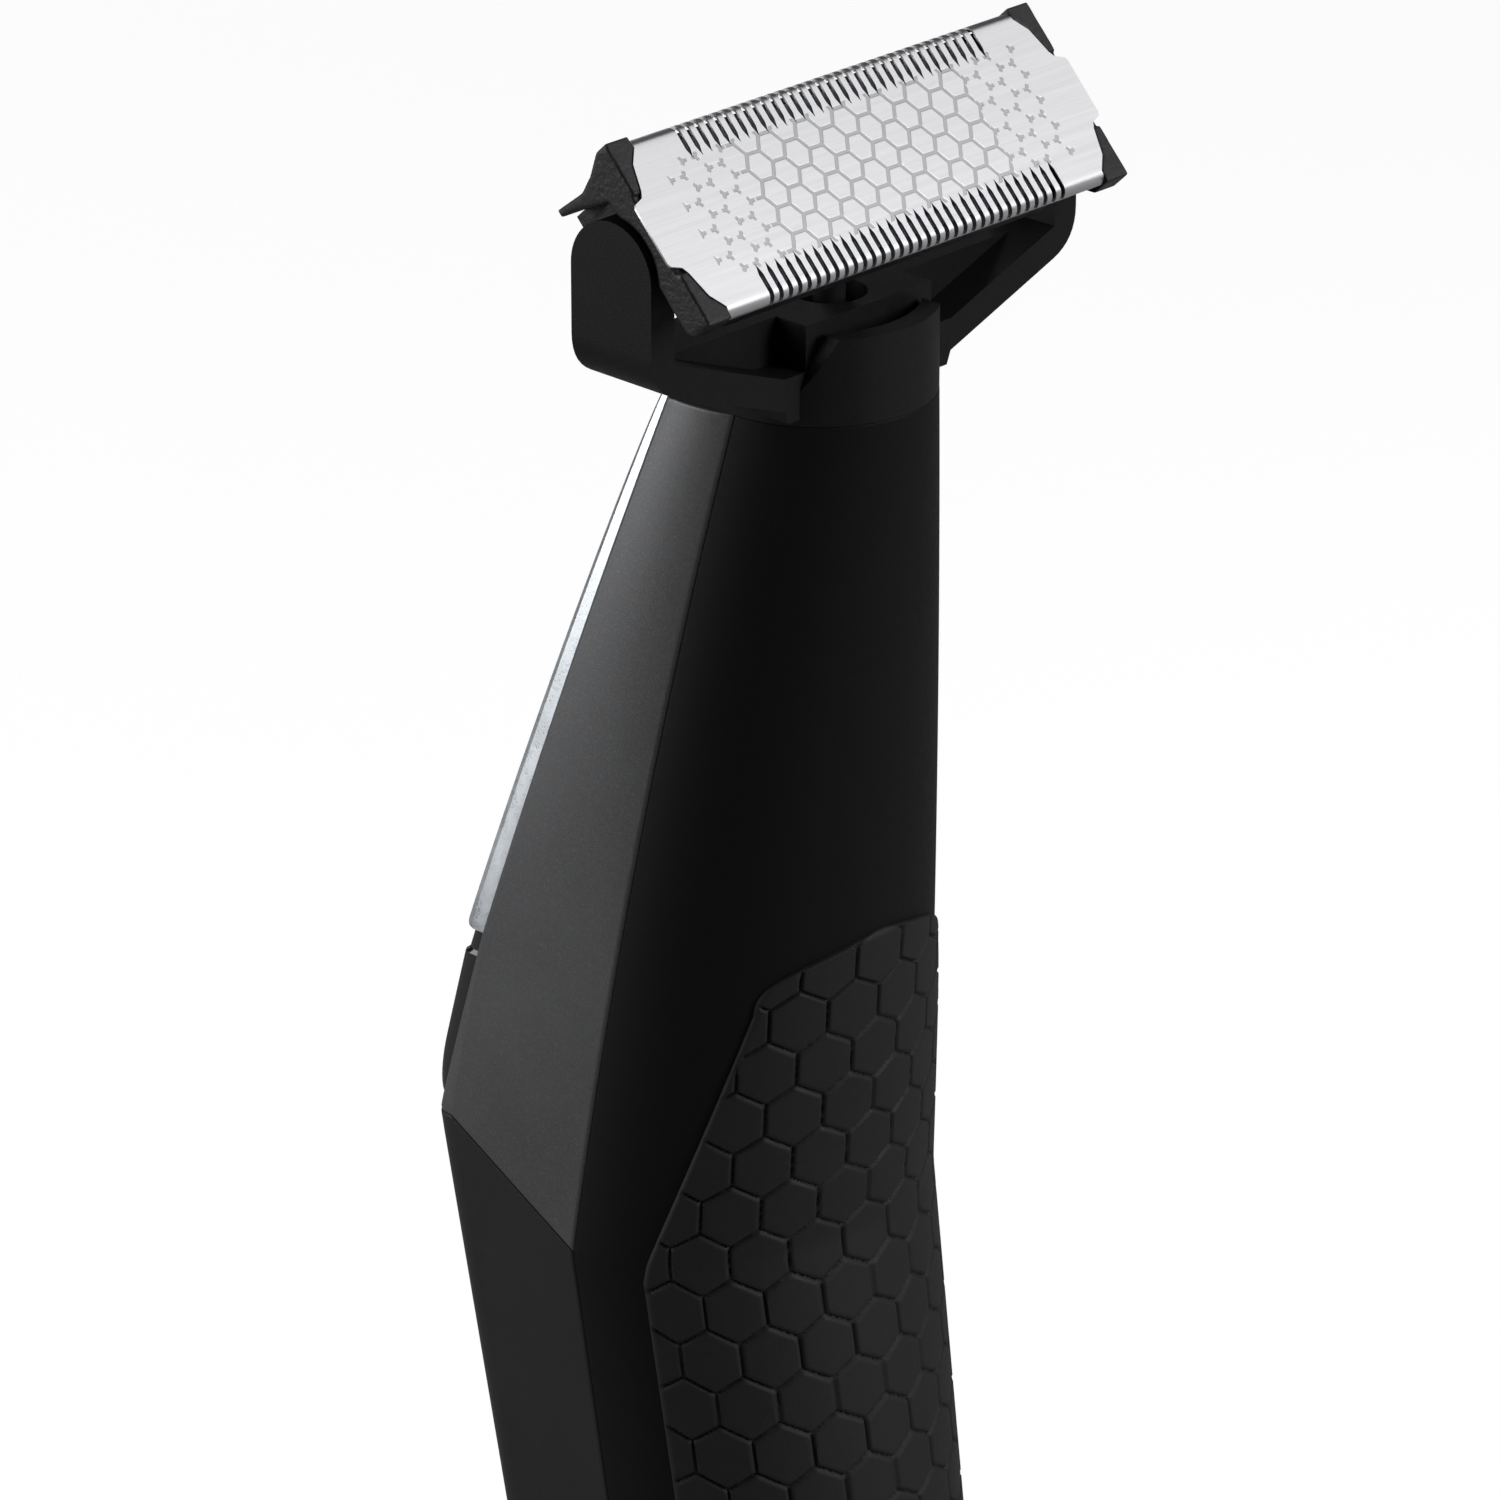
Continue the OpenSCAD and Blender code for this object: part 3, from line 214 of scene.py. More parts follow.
class Handle:
    """The handle's surfaces as functions of the station v: 0 neck, 1 bend, 2 base cap."""

    def __init__(self):
        self.s = bpy.context.scene.groomer_handle
        self.trim = bpy.context.scene.groomer_trim

    def half_w(self, v):
        s = self.s
        return along(s.neck_half_w, s.bend_half_w, s.base_half_w, s.width_bow, v)

    def front_half(self, v):
        s = self.s
        return along(s.neck_front_half, s.bend_half_w, s.base_half_w, s.width_bow, v)

    def front_y(self, v):
        return along(*self.s.front_y, self.s.front_bow, v)

    def part_y(self, v):
        return along(*self.s.part_y, self.s.part_bow, v)

    def back_y(self, v):
        return along(*self.s.back_y, 0, v)

    def edge_r(self, v):
        neck, plate, bend, base = self.s.edge_r
        end = self.trim.plate_end
        upper = np.where(v <= end, lerp(neck, plate, v / end), lerp(plate, bend, (v - end) / (1 - end)))
        return np.where(v <= 1, upper, lerp(bend, base, v - 1))

    def face_half(self, v, edge):
        """Half width of a bar on the front face that keeps clear of the rounded edges."""
        return self.front_half(v) - np.maximum(edge, 0.8 * self.edge_r(v))

    def level(self, v, drop):
        """Height of station v where the bend lies that far below the neck."""
        return np.where(v <= 1, NECK_Z - v * drop, lerp(NECK_Z - drop, CAP_Z, v - 1))

    def eased(self, surface, v, reach=0.010):
        """A surface with its bend eased: the mean of itself a little above, at and a little below."""
        near = np.exp(-(((v - 1) / (2.2 * reach)) ** 2))[..., None]
        mean = (surface(v - reach) + 2 * surface(v) + surface(v + reach)) / 4
        return lerp(surface(v), mean, near)

    def back(self, v, phi, out=0.0):
        """Back surface: half an ellipse round the back at angle phi, moved outwards by out."""

        def surface(w):
            y0 = self.part_y(w)
            drop = lerp(self.s.side_drop, self.s.back_drop, np.sin(phi))
            return np.stack(
                np.broadcast_arrays(
                    (self.half_w(w) + out) * np.cos(phi),
                    y0 + (self.back_y(w) + out - y0) * np.sin(phi),
                    self.level(w, drop),
                ),
                -1,
            )

        return self.eased(surface, v)

    def front(self, v, t, out=0.0):
        """Right half of the front surface. t runs 0 to 1 straight over the face, 1 to 2 round the edge on a quadratic
        curve, and 2 to 3 over the side, straight but for a slight crown that fades out at the bend."""

        def surface(w):
            s = self.s
            ax, ay = self.half_w(w) + out, self.part_y(w)
            cx, cy = self.front_half(w) + out, self.front_y(w) - out
            r = np.maximum(self.edge_r(w) + out, 0.0003)
            far = np.hypot(ax - cx, ay - cy)
            px, py = cx + (ax - cx) * r / far, cy + (ay - cy) * r / far
            qx = cx - r
            k = np.clip(t - 1, 0, 1)
            x = np.where(t < 1, qx * t, (1 - k) ** 2 * qx + 2 * k * (1 - k) * cx + k**2 * px)
            y = np.where(t < 1, cy, (1 - k) ** 2 * cy + 2 * k * (1 - k) * cy + k**2 * py)
            m = np.clip(t - 2, 0, 1)
            crown = s.side_crown * 4 * m * (1 - m) * (1 - np.clip(w, 0, 1) ** 4)
            x, y = np.where(t > 2, lerp(px, ax, m) + crown, x), np.where(t > 2, lerp(py, ay, m), y)
            drop = lerp(s.front_drop, s.side_drop, m)
            return np.stack(np.broadcast_arrays(x, y, self.level(w, drop)), -1)

        return self.eased(surface, v)


def crowd(low, high, count, ends):
    """Even steps from low to high, with extra steps close to both ends."""
    even = np.linspace(low, high, count)
    near = np.array(ends)
    return np.unique(np.round(np.concatenate([even, low + near, high - near]), 7))


def seam_dip(distance, depth):
    """How far a surface sinks near its edge: a quarter round of that depth."""
    k = np.clip(1 - distance / depth, 0, 1)
    return -depth * (1 - np.sqrt(np.maximum(1 - k**2, 0)))


# ---- Meshes ----


def mesh_of(name, points, faces, uv=None, smooth_deg=35.0):
    """A mesh from an array of points and an array of quads, shaded smooth up to an angle."""
    mesh = bpy.data.meshes.new(name)
    points = np.asarray(points, np.float32).reshape(-1, 3)
    faces = np.asarray(faces, np.int32)
    mesh.vertices.add(len(points))
    mesh.vertices.foreach_set("co", points.ravel())
    mesh.loops.add(faces.size)
    mesh.loops.foreach_set("vertex_index", faces.ravel())
    mesh.polygons.add(len(faces))
    mesh.polygons.foreach_set("loop_start", np.arange(0, faces.size, faces.shape[1], dtype=np.int32))
    mesh.polygons.foreach_set("use_smooth", np.ones(len(faces), bool))
    mesh.update(calc_edges=True)
    if uv is not None:
        layer = mesh.uv_layers.new(name="UVMap")
        layer.data.foreach_set("uv", np.asarray(uv, np.float32).reshape(-1, 2)[faces.ravel()].ravel())
    mesh.set_sharp_from_angle(angle=np.radians(smooth_deg))
    return mesh


def object_of(name, mesh):
    """An object in the scene that holds the mesh."""
    obj = bpy.data.objects.new(name, mesh)
    bpy.context.scene.collection.objects.link(obj)
    return obj


def grid_faces(rows, cols, start=0, wrap=False, flip=False):
    """Quads of a grid of points, rows by cols, joined across its side edges if wrap is set."""
    r, c = np.meshgrid(np.arange(rows - 1), np.arange(cols if wrap else cols - 1), indexing="ij")
    n = (c + 1) % cols
    quads = np.stack([r * cols + c, (r + 1) * cols + c, (r + 1) * cols + n, r * cols + n], -1)
    quads = quads.reshape(-1, 4) + start
    return quads[:, ::-1] if flip else quads


def wall_between(outer, inner):
    """Points and quads of a closed wall: an outer grid, an inner one, and the rim that joins them."""
    rows, cols = outer.shape[:2]
    base = rows * cols
    rim = np.concatenate(
        [
            np.arange(cols),
            np.arange(1, rows) * cols + cols - 1,
            (rows - 1) * cols + np.arange(cols - 2, -1, -1),
            np.arange(rows - 2, 0, -1) * cols,
        ]
    )
    nxt = np.roll(rim, -1)
    faces = np.concatenate(
        [
            grid_faces(rows, cols),
            grid_faces(rows, cols, base, flip=True),
            np.stack([rim, nxt, nxt + base, rim + base], -1),
        ]
    )
    return np.concatenate([outer.reshape(-1, 3), inner.reshape(-1, 3)]), faces


def thin_backed(name, outer, inner, picks, smooth_deg=60.0):
    """A closed pad: a fine outer grid over an inner one that has only the picked columns. Each step of the inner top
    and bottom rows meets the run of outer points over it in one many-sided face."""
    rows, cols = outer.shape[:2]
    few, base = len(picks), rows * cols
    r = np.arange(rows - 1)
    upper, lower = r * cols, (r + 1) * cols
    under, foot = base + r * few, base + (r + 1) * few
    right = np.stack([upper + cols - 1, lower + cols - 1, foot + few - 1, under + few - 1], -1)
    left = np.stack([lower, upper, under, foot], -1)
    faces = np.concatenate([grid_faces(rows, cols), grid_faces(rows, few, base, flip=True), right, left]).tolist()
    last, low = (rows - 1) * cols, base + (rows - 1) * few
    for k, (a, b) in enumerate(zip(picks[:-1], picks[1:])):
        faces.append([*range(a, b + 1), base + k + 1, base + k])
        faces.append([*range(last + b, last + a - 1, -1), low + k, low + k + 1])
    mesh = bpy.data.meshes.new(name)
    mesh.from_pydata(np.concatenate([outer.reshape(-1, 3), inner.reshape(-1, 3)]).tolist(), [], faces)
    mesh.polygons.foreach_set("use_smooth", np.ones(len(faces), bool))
    mesh.set_sharp_from_angle(angle=np.radians(smooth_deg))
    return mesh


def stacked(name, rings, smooth_deg=35.0):
    """A closed solid through rings of points, from one end to the other, with both ends drawn to a point."""
    rings = np.asarray(rings, float)
    first, last = rings[0].mean(0), rings[-1].mean(0)
    ends = [np.broadcast_to(point, rings[:1].shape) for point in (first, last)]
    full = np.concatenate([ends[0], rings, ends[1]])
    rows, cols = full.shape[:2]
    mesh = mesh_of(name, full, grid_faces(rows, cols, wrap=True), smooth_deg=smooth_deg)
    bm = bmesh.new()
    bm.from_mesh(mesh)
    bmesh.ops.remove_doubles(bm, verts=bm.verts, dist=1e-7)
    bmesh.ops.recalc_face_normals(bm, faces=bm.faces)
    bm.to_mesh(mesh)
    bm.free()
    mesh.set_sharp_from_angle(angle=np.radians(smooth_deg))
    return mesh


def refined(node, bevel, limit_deg=28.0):
    """A copy of a CAD node with its loose triangles merged and its edges rounded."""
    mesh = frame["nodes"][node].data.copy()
    mesh.name = node + "_skin"
    bm = bmesh.new()
    bm.from_mesh(mesh)
    bmesh.ops.remove_doubles(bm, verts=bm.verts, dist=2e-6)
    bmesh.ops.dissolve_limit(
        bm, angle_limit=np.radians(1.0), verts=bm.verts, edges=bm.edges, use_dissolve_boundaries=False
    )
    bm.to_mesh(mesh)
    bm.free()
    for attribute in [a.name for a in mesh.attributes if a.name.startswith("custom_normal")]:
        mesh.attributes.remove(mesh.attributes[attribute])
    mesh.polygons.foreach_set("use_smooth", np.ones(len(mesh.polygons), bool))
    mesh.set_sharp_from_angle(angle=np.radians(limit_deg))
    obj = object_of(node + "_skin", mesh)
    if bevel:
        rounding = obj.modifiers.new("Rounded edges", "BEVEL")
        rounding.width = bevel
        rounding.segments = 3
        rounding.limit_method = "ANGLE"
        rounding.angle_limit = np.radians(limit_deg)
        rounding.use_clamp_overlap = True
        rounding.harden_normals = False
    return obj


def cut_away(obj, cutters=()):
    """Takes the cutters out of an object's mesh, applies its other modifiers too, and removes the cutters."""
    for cutter in cutters:
        step = obj.modifiers.new("Opening", "BOOLEAN")
        step.operation = "DIFFERENCE"
        step.solver = "EXACT"
        step.object = cutter
    bpy.context.view_layer.update()
    evaluated = obj.evaluated_get(bpy.context.evaluated_depsgraph_get())
    mesh = bpy.data.meshes.new_from_object(evaluated)
    obj.modifiers.clear()
    obj.data = mesh
    mesh.set_sharp_from_angle(angle=np.radians(35))
    for cutter in cutters:
        bpy.data.objects.remove(cutter)
    return obj


def softened(node, voxel, passes):
    """A copy of a CAD node in small even faces, smoothed over so that its edges and corners are round."""
    obj = refined(node, 0.0)
    even = obj.modifiers.new("Even faces", "REMESH")
    even.mode = "VOXEL"
    even.voxel_size = voxel
    even.use_smooth_shade = True
    soft = obj.modifiers.new("Soft edges", "SMOOTH")
    soft.factor = 0.5
    soft.iterations = passes
    return cut_away(obj)


def settle(obj, body, node):
    """Gives a finished piece its finish, hangs it on the body that carries it and hides the CAD node that it stands
    for.
    """
    slot = SLOTS[node]
    obj.data.materials.clear()
    obj.data.materials.append(finish_of(slot))
    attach(obj, body)
    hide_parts(node)
    return obj


# ---- Shader groups ----


def new_group(name, inputs, outputs):
    """An empty shader node group with named sockets, and its input and output nodes."""
    tree = bpy.data.node_groups.new(name, "ShaderNodeTree")
    for label, kind, value in inputs:
        socket = tree.interface.new_socket(label, in_out="INPUT", socket_type=kind)
        if value is not None:
            socket.default_value = value
    for label, kind in outputs:
        tree.interface.new_socket(label, in_out="OUTPUT", socket_type=kind)
    return tree, tree.nodes.new("NodeGroupInput"), tree.nodes.new("NodeGroupOutput")


def maths(tree, operation, a, b=None, c=None):
    """A Math node fed by sockets or numbers, and its result."""
    node = tree.nodes.new("ShaderNodeMath")
    node.operation = operation
    for i, value in enumerate((a, b, c)):
        if value is None:
            continue
        if isinstance(value, (int, float)):
            node.inputs[i].default_value = value
        else:
            tree.links.new(value, node.inputs[i])
    return node.outputs[0]


def noise(tree, vector, scale, detail=2.0, rough=0.5):
    """A noise value over a vector at a scale."""
    node = tree.nodes.new("ShaderNodeTexNoise")
    node.inputs["Detail"].default_value = detail
    node.inputs["Roughness"].default_value = rough
    if isinstance(scale, (int, float)):
        node.inputs["Scale"].default_value = scale
    else:
        tree.links.new(scale, node.inputs["Scale"])
    tree.links.new(vector, node.inputs["Vector"])
    return node.outputs["Fac"]


def ramp(tree, value, low, high, to_low=0.0, to_high=1.0):
    """A value stretched from one range to another, and held inside it."""
    node = tree.nodes.new("ShaderNodeMapRange")
    for name, number in (("From Min", low), ("From Max", high), ("To Min", to_low), ("To Max", to_high)):
        if isinstance(number, (int, float)):
            node.inputs[name].default_value = number
        else:
            tree.links.new(number, node.inputs[name])
    tree.links.new(value, node.inputs["Value"])
    return node.outputs["Result"]


def weighted(tree, a, b, part):
    """A mean of two values, with that part of the first."""
    return maths(tree, "MULTIPLY_ADD", a, part, maths(tree, "MULTIPLY", b, 1 - part))


def grain_group():
    """Moulded or sprayed grain: fine noise over a coarser one, and rare bright flecks."""
    tree, into, out = new_group(
        "Fine grain",
        [("Vector", "NodeSocketVector", None), ("Scale", "NodeSocketFloat", 5000.0)],
        [("Height", "NodeSocketFloat"), ("Tone", "NodeSocketFloat"), ("Fleck", "NodeSocketFloat")],
    )
    scale = into.outputs["Scale"]
    fine = noise(tree, into.outputs["Vector"], scale, 1.0)
    coarse = noise(tree, into.outputs["Vector"], maths(tree, "MULTIPLY", scale, 0.31), 2.0)
    flecks = noise(tree, into.outputs["Vector"], maths(tree, "MULTIPLY", scale, 1.7), 0.0)
    tree.links.new(weighted(tree, fine, coarse, 0.7), out.inputs["Height"])
    tree.links.new(ramp(tree, coarse, 0.3, 0.7), out.inputs["Tone"])
    tree.links.new(ramp(tree, flecks, 0.66, 0.74), out.inputs["Fleck"])
    return tree


def handling_group():
    """Traces of use: broad soft patches, and fine specks of dust."""
    tree, into, out = new_group(
        "Handling",
        [("Vector", "NodeSocketVector", None), ("Size", "NodeSocketFloat", 60.0)],
        [("Patches", "NodeSocketFloat"), ("Dust", "NodeSocketFloat")],
    )
    broad = noise(tree, into.outputs["Vector"], into.outputs["Size"], 3.0, 0.6)
    specks = noise(tree, into.outputs["Vector"], maths(tree, "MULTIPLY", into.outputs["Size"], 45.0), 0.0)
    tree.links.new(ramp(tree, broad, 0.35, 0.65), out.inputs["Patches"])
    tree.links.new(ramp(tree, specks, 0.78, 0.82), out.inputs["Dust"])
    return tree


def brushed_group():
    """Brushing: noise stretched along the first axis of its vector, fine and broad."""
    tree, into, out = new_group(
        "Brushed",
        [
            ("Vector", "NodeSocketVector", None),
            ("Along", "NodeSocketFloat", 60.0),
            ("Across", "NodeSocketFloat", 9000.0),
        ],
        [("Height", "NodeSocketFloat"), ("Streak", "NodeSocketFloat")],
    )
    stretch = tree.nodes.new("ShaderNodeCombineXYZ")
    tree.links.new(into.outputs["Along"], stretch.inputs[0])
    tree.links.new(into.outputs["Across"], stretch.inputs[1])
    tree.links.new(into.outputs["Across"], stretch.inputs[2])
    scaled = tree.nodes.new("ShaderNodeVectorMath")
    scaled.operation = "MULTIPLY"
    tree.links.new(into.outputs["Vector"], scaled.inputs[0])
    tree.links.new(stretch.outputs[0], scaled.inputs[1])
    fine = noise(tree, scaled.outputs[0], 1.0, 3.0, 0.7)
    broad = noise(tree, scaled.outputs[0], 0.12, 2.0)
    tree.links.new(fine, out.inputs["Height"])
    tree.links.new(ramp(tree, weighted(tree, fine, broad, 0.6), 0.35, 0.65), out.inputs["Streak"])
    return tree


def honeycomb_group():
    """Lines of a honeycomb with sides along the first axis. Two offset rectangular lattices hold the centres. The
    nearer one gives the cell, and the distance to its border the line, cut off past Reach from a corner."""
    tree, into, out = new_group(
        "Honeycomb",
        [
            ("U", "NodeSocketFloat", 0.0), ("V", "NodeSocketFloat", 0.0), ("Edge", "NodeSocketFloat", 1.0),
            ("Line", "NodeSocketFloat", 0.1), ("Reach", "NodeSocketFloat", 9.0),
        ],
        [("Line", "NodeSocketFloat")],
    )
    edge = into.outputs["Edge"]
    height = 3**0.5 / 2
    step_u, step_v = maths(tree, "MULTIPLY", edge, 3.0), maths(tree, "MULTIPLY", edge, 2 * height)

    def cell(offset):
        pair = []
        for axis, step in (("U", step_u), ("V", step_v)):
            moved = maths(tree, "MULTIPLY_ADD", step, offset, into.outputs[axis])
            wrapped = maths(tree, "FLOORED_MODULO", moved, step)
            pair.append(maths(tree, "MULTIPLY_ADD", step, -0.5, wrapped))
        return pair

    def length_of(u, v):
        return maths(tree, "SQRT", maths(tree, "MULTIPLY_ADD", u, u, maths(tree, "MULTIPLY", v, v)))

    (u0, v0), (u1, v1) = cell(0.5), cell(0.0)
    nearer = maths(tree, "LESS_THAN", length_of(u0, v0), length_of(u1, v1))

    def pick(a, b):
        return maths(tree, "ABSOLUTE", maths(tree, "MULTIPLY_ADD", nearer, maths(tree, "SUBTRACT", a, b), b))

    u, v = pick(u0, u1), pick(v0, v1)
    slant = maths(tree, "MULTIPLY_ADD", u, height, maths(tree, "MULTIPLY", v, 0.5))
    border = maths(tree, "SUBTRACT", maths(tree, "MULTIPLY", edge, height), maths(tree, "MAXIMUM", v, slant))
    side = length_of(maths(tree, "SUBTRACT", u, edge), v)
    top = length_of(maths(tree, "MULTIPLY_ADD", edge, -0.5, u), maths(tree, "MULTIPLY_ADD", edge, -height, v))
    corner = maths(tree, "MINIMUM", side, top)
    half = maths(tree, "MULTIPLY", into.outputs["Line"], 0.5)
    soft = maths(tree, "MULTIPLY", into.outputs["Line"], 0.7)
    on_line = ramp(tree, border, soft, half)
    in_reach = maths(tree, "LESS_THAN", corner, into.outputs["Reach"])
    tree.links.new(maths(tree, "MULTIPLY", on_line, in_reach), out.inputs["Line"])
    return tree


GROUPS = {}


def group(tree, name, maker, **values):
    """A shared group placed in a material, with its own values."""
    if name not in GROUPS:
        GROUPS[name] = maker()
    node = tree.nodes.new("ShaderNodeGroup")
    node.node_tree = GROUPS[name]
    for key, value in values.items():
        if isinstance(value, (int, float)):
            node.inputs[key].default_value = value
        else:
            tree.links.new(value, node.inputs[key])
    return node


# ---- Finishes ----


def blank(slot, metallic=0.0, specular=0.5):
    """A new material for a slot with its shader, its tree and its object coordinates."""
    material = bpy.data.materials.new(slot)
    material.use_nodes = True
    tree = material.node_tree
    shader = tree.nodes["Principled BSDF"]
    shader.inputs["Metallic"].default_value = metallic
    shader.inputs["Specular IOR Level"].default_value = specular
    place = tree.nodes.new("ShaderNodeTexCoord")
    return material, tree, shader, place


def two_tone(tree, mask, first, second):
    """A colour that goes from first to second with a mask."""
    mix = tree.nodes.new("ShaderNodeMix")
    mix.data_type = "RGBA"
    mix.inputs["A"].default_value = (*first[:3], 1)
    mix.inputs["B"].default_value = (*second[:3], 1)
    tree.links.new(mask, mix.inputs["Factor"])
    return mix.outputs["Result"]


def raise_by(tree, shader, height, distance, strength=1.0):
    """Feeds a height through a Bump node into the shader's normal."""
    bump = tree.nodes.new("ShaderNodeBump")
    bump.inputs["Distance"].default_value = distance
    bump.inputs["Strength"].default_value = strength
    tree.links.new(height, bump.inputs["Height"])
    tree.links.new(bump.outputs[0], shader.inputs["Normal"])


def moulded(slot, rough=(0.4, 0.55), scale=6000.0, depth=0.000012, metallic=0.0, specular=0.35, lighter=1.35,
            fleck=0.0, coat=0.0):
    """Moulded or sprayed plastic: grain and soft patches of handling."""
    material, tree, shader, place = blank(slot, metallic, specular)
    base = np.array(COLORS[slot][:3])
    grain = group(tree, "grain", grain_group, Vector=place.outputs["Object"], Scale=scale)
    use = group(tree, "handling", handling_group, Vector=place.outputs["Object"], Size=70.0)
    tone = weighted(tree, grain.outputs["Tone"], use.outputs["Patches"], 0.5)
    color = two_tone(tree, tone, base, np.minimum(base * lighter, 1))
    if fleck:
        spark = tree.nodes.new("ShaderNodeMix")
        spark.data_type = "RGBA"
        spark.inputs["B"].default_value = (*np.minimum(base * fleck, 1), 1)
        tree.links.new(grain.outputs["Fleck"], spark.inputs["Factor"])
        tree.links.new(color, spark.inputs["A"])
        color = spark.outputs["Result"]
    tree.links.new(color, shader.inputs["Base Color"])
    tree.links.new(ramp(tree, tone, 0.0, 1.0, rough[0], rough[1]), shader.inputs["Roughness"])
    raise_by(tree, shader, grain.outputs["Height"], depth)
    shader.inputs["Coat Weight"].default_value = coat
    shader.inputs["Coat Roughness"].default_value = 0.08
    return material


def machined(slot, rough=(0.22, 0.38), along=150.0, across=7000.0, depth=0.000004):
    """Brushed or turned metal, with streaks along its first axis."""
    material, tree, shader, place = blank(slot, 1.0)
    base = np.array(COLORS[slot][:3])
    brushed = group(tree, "brushed", brushed_group, Vector=place.outputs["Object"], Along=along, Across=across)
    use = group(tree, "handling", handling_group, Vector=place.outputs["Object"], Size=90.0)
    tree.links.new(two_tone(tree, brushed.outputs["Streak"], base * 0.86, np.minimum(base * 1.06, 1)),
                   shader.inputs["Base Color"])
    wear = weighted(tree, brushed.outputs["Streak"], use.outputs["Patches"], 0.88)
    tree.links.new(ramp(tree, wear, 0.0, 1.0, rough[0], rough[1]), shader.inputs["Roughness"])
    raise_by(tree, shader, brushed.outputs["Height"], depth)
    return material


def etched_foil(slot="foil_steel"):
    """Brushed steel with a shallow etched honeycomb: whole in the middle, only its corners near the ends. The numbers
    below are in millimetres, like the sheet's own coordinates."""
    s = bpy.context.scene.groomer_foil
    material, tree, shader, place = blank(slot, 1.0)
    base = np.array(COLORS[slot][:3])
    split = tree.nodes.new("ShaderNodeSeparateXYZ")
    tree.links.new(place.outputs["UV"], split.inputs[0])
    u, v = split.outputs[0], split.outputs[1]
    edge, whole, star = s.hex_edge / MM, 9.0, 0.31
    start_u, start_v, end_margin, slot_margin = 1.42, 0.10, 1.3, 0.35
    far = maths(tree, "GREATER_THAN", maths(tree, "ABSOLUTE", u), s.full_half / MM)
    reach = maths(tree, "MULTIPLY_ADD", far, star * edge - whole, whole)
    comb = group(tree, "honeycomb", honeycomb_group, U=maths(tree, "ADD", u, start_u),
                 V=maths(tree, "ADD", v, start_v), Edge=edge, Line=s.line_w / MM, Reach=reach)
    room_u = maths(tree, "LESS_THAN", maths(tree, "ABSOLUTE", u), s.flat_l / MM / 2 - end_margin)
    room_v = maths(tree, "LESS_THAN", maths(tree, "ABSOLUTE", v), (s.width / 2 - s.slot_l) / MM - slot_margin)
    line = maths(tree, "MULTIPLY", comb.outputs["Line"], maths(tree, "MULTIPLY", room_u, room_v))
    brushed = group(tree, "brushed", brushed_group, Vector=place.outputs["UV"], Along=0.12, Across=16.0)
    steel = two_tone(tree, brushed.outputs["Streak"], base * 0.90, np.minimum(base * 1.05, 1))
    mix = tree.nodes.new("ShaderNodeMix")
    mix.data_type = "RGBA"
    mix.inputs["B"].default_value = (*(base * 0.66), 1)
    tree.links.new(line, mix.inputs["Factor"])
    tree.links.new(steel, mix.inputs["A"])
    tree.links.new(mix.outputs["Result"], shader.inputs["Base Color"])
    plain = ramp(tree, brushed.outputs["Streak"], 0.0, 1.0, 0.30, 0.40)
    tree.links.new(maths(tree, "MULTIPLY_ADD", line, 0.14, plain), shader.inputs["Roughness"])
    crown = maths(tree, "MULTIPLY", maths(tree, "MULTIPLY", v, v), -0.1)
    sunk = maths(tree, "MULTIPLY_ADD", line, -0.5, crown)
    height = maths(tree, "MULTIPLY_ADD", brushed.outputs["Height"], 0.2, sunk)
    raise_by(tree, shader, height, 0.00003)
    return material


def clear_lens(slot="lens"):
    """Frosted clear plastic light pipe."""
    material, tree, shader, place = blank(slot)
    shader.inputs["Base Color"].default_value = (*COLORS[slot][:3], 1)
    shader.inputs["Transmission Weight"].default_value = 0.6
    shader.inputs["IOR"].default_value = 1.49
    grain = group(tree, "grain", grain_group, Vector=place.outputs["Object"], Scale=4000.0)
    tree.links.new(ramp(tree, grain.outputs["Tone"], 0.0, 1.0, 0.15, 0.3), shader.inputs["Roughness"])
    raise_by(tree, shader, grain.outputs["Height"], 0.000006)
    return material


def circuit(slot="board"):
    """Green board with paler tracks in a square mesh."""
    material, tree, shader, place = blank(slot)
    base = np.array(COLORS[slot][:3])
    tracks = tree.nodes.new("ShaderNodeTexBrick")
    tracks.inputs["Scale"].default_value = 420.0
    tracks.inputs["Mortar Size"].default_value = 0.03
    tree.links.new(place.outputs["Object"], tracks.inputs["Vector"])
    tree.links.new(two_tone(tree, tracks.outputs["Fac"], base, base * 2.2), shader.inputs["Base Color"])
    tree.links.new(ramp(tree, tracks.outputs["Fac"], 0, 1, 0.35, 0.2), shader.inputs["Roughness"])
    raise_by(tree, shader, tracks.outputs["Fac"], 0.00004)
    return material


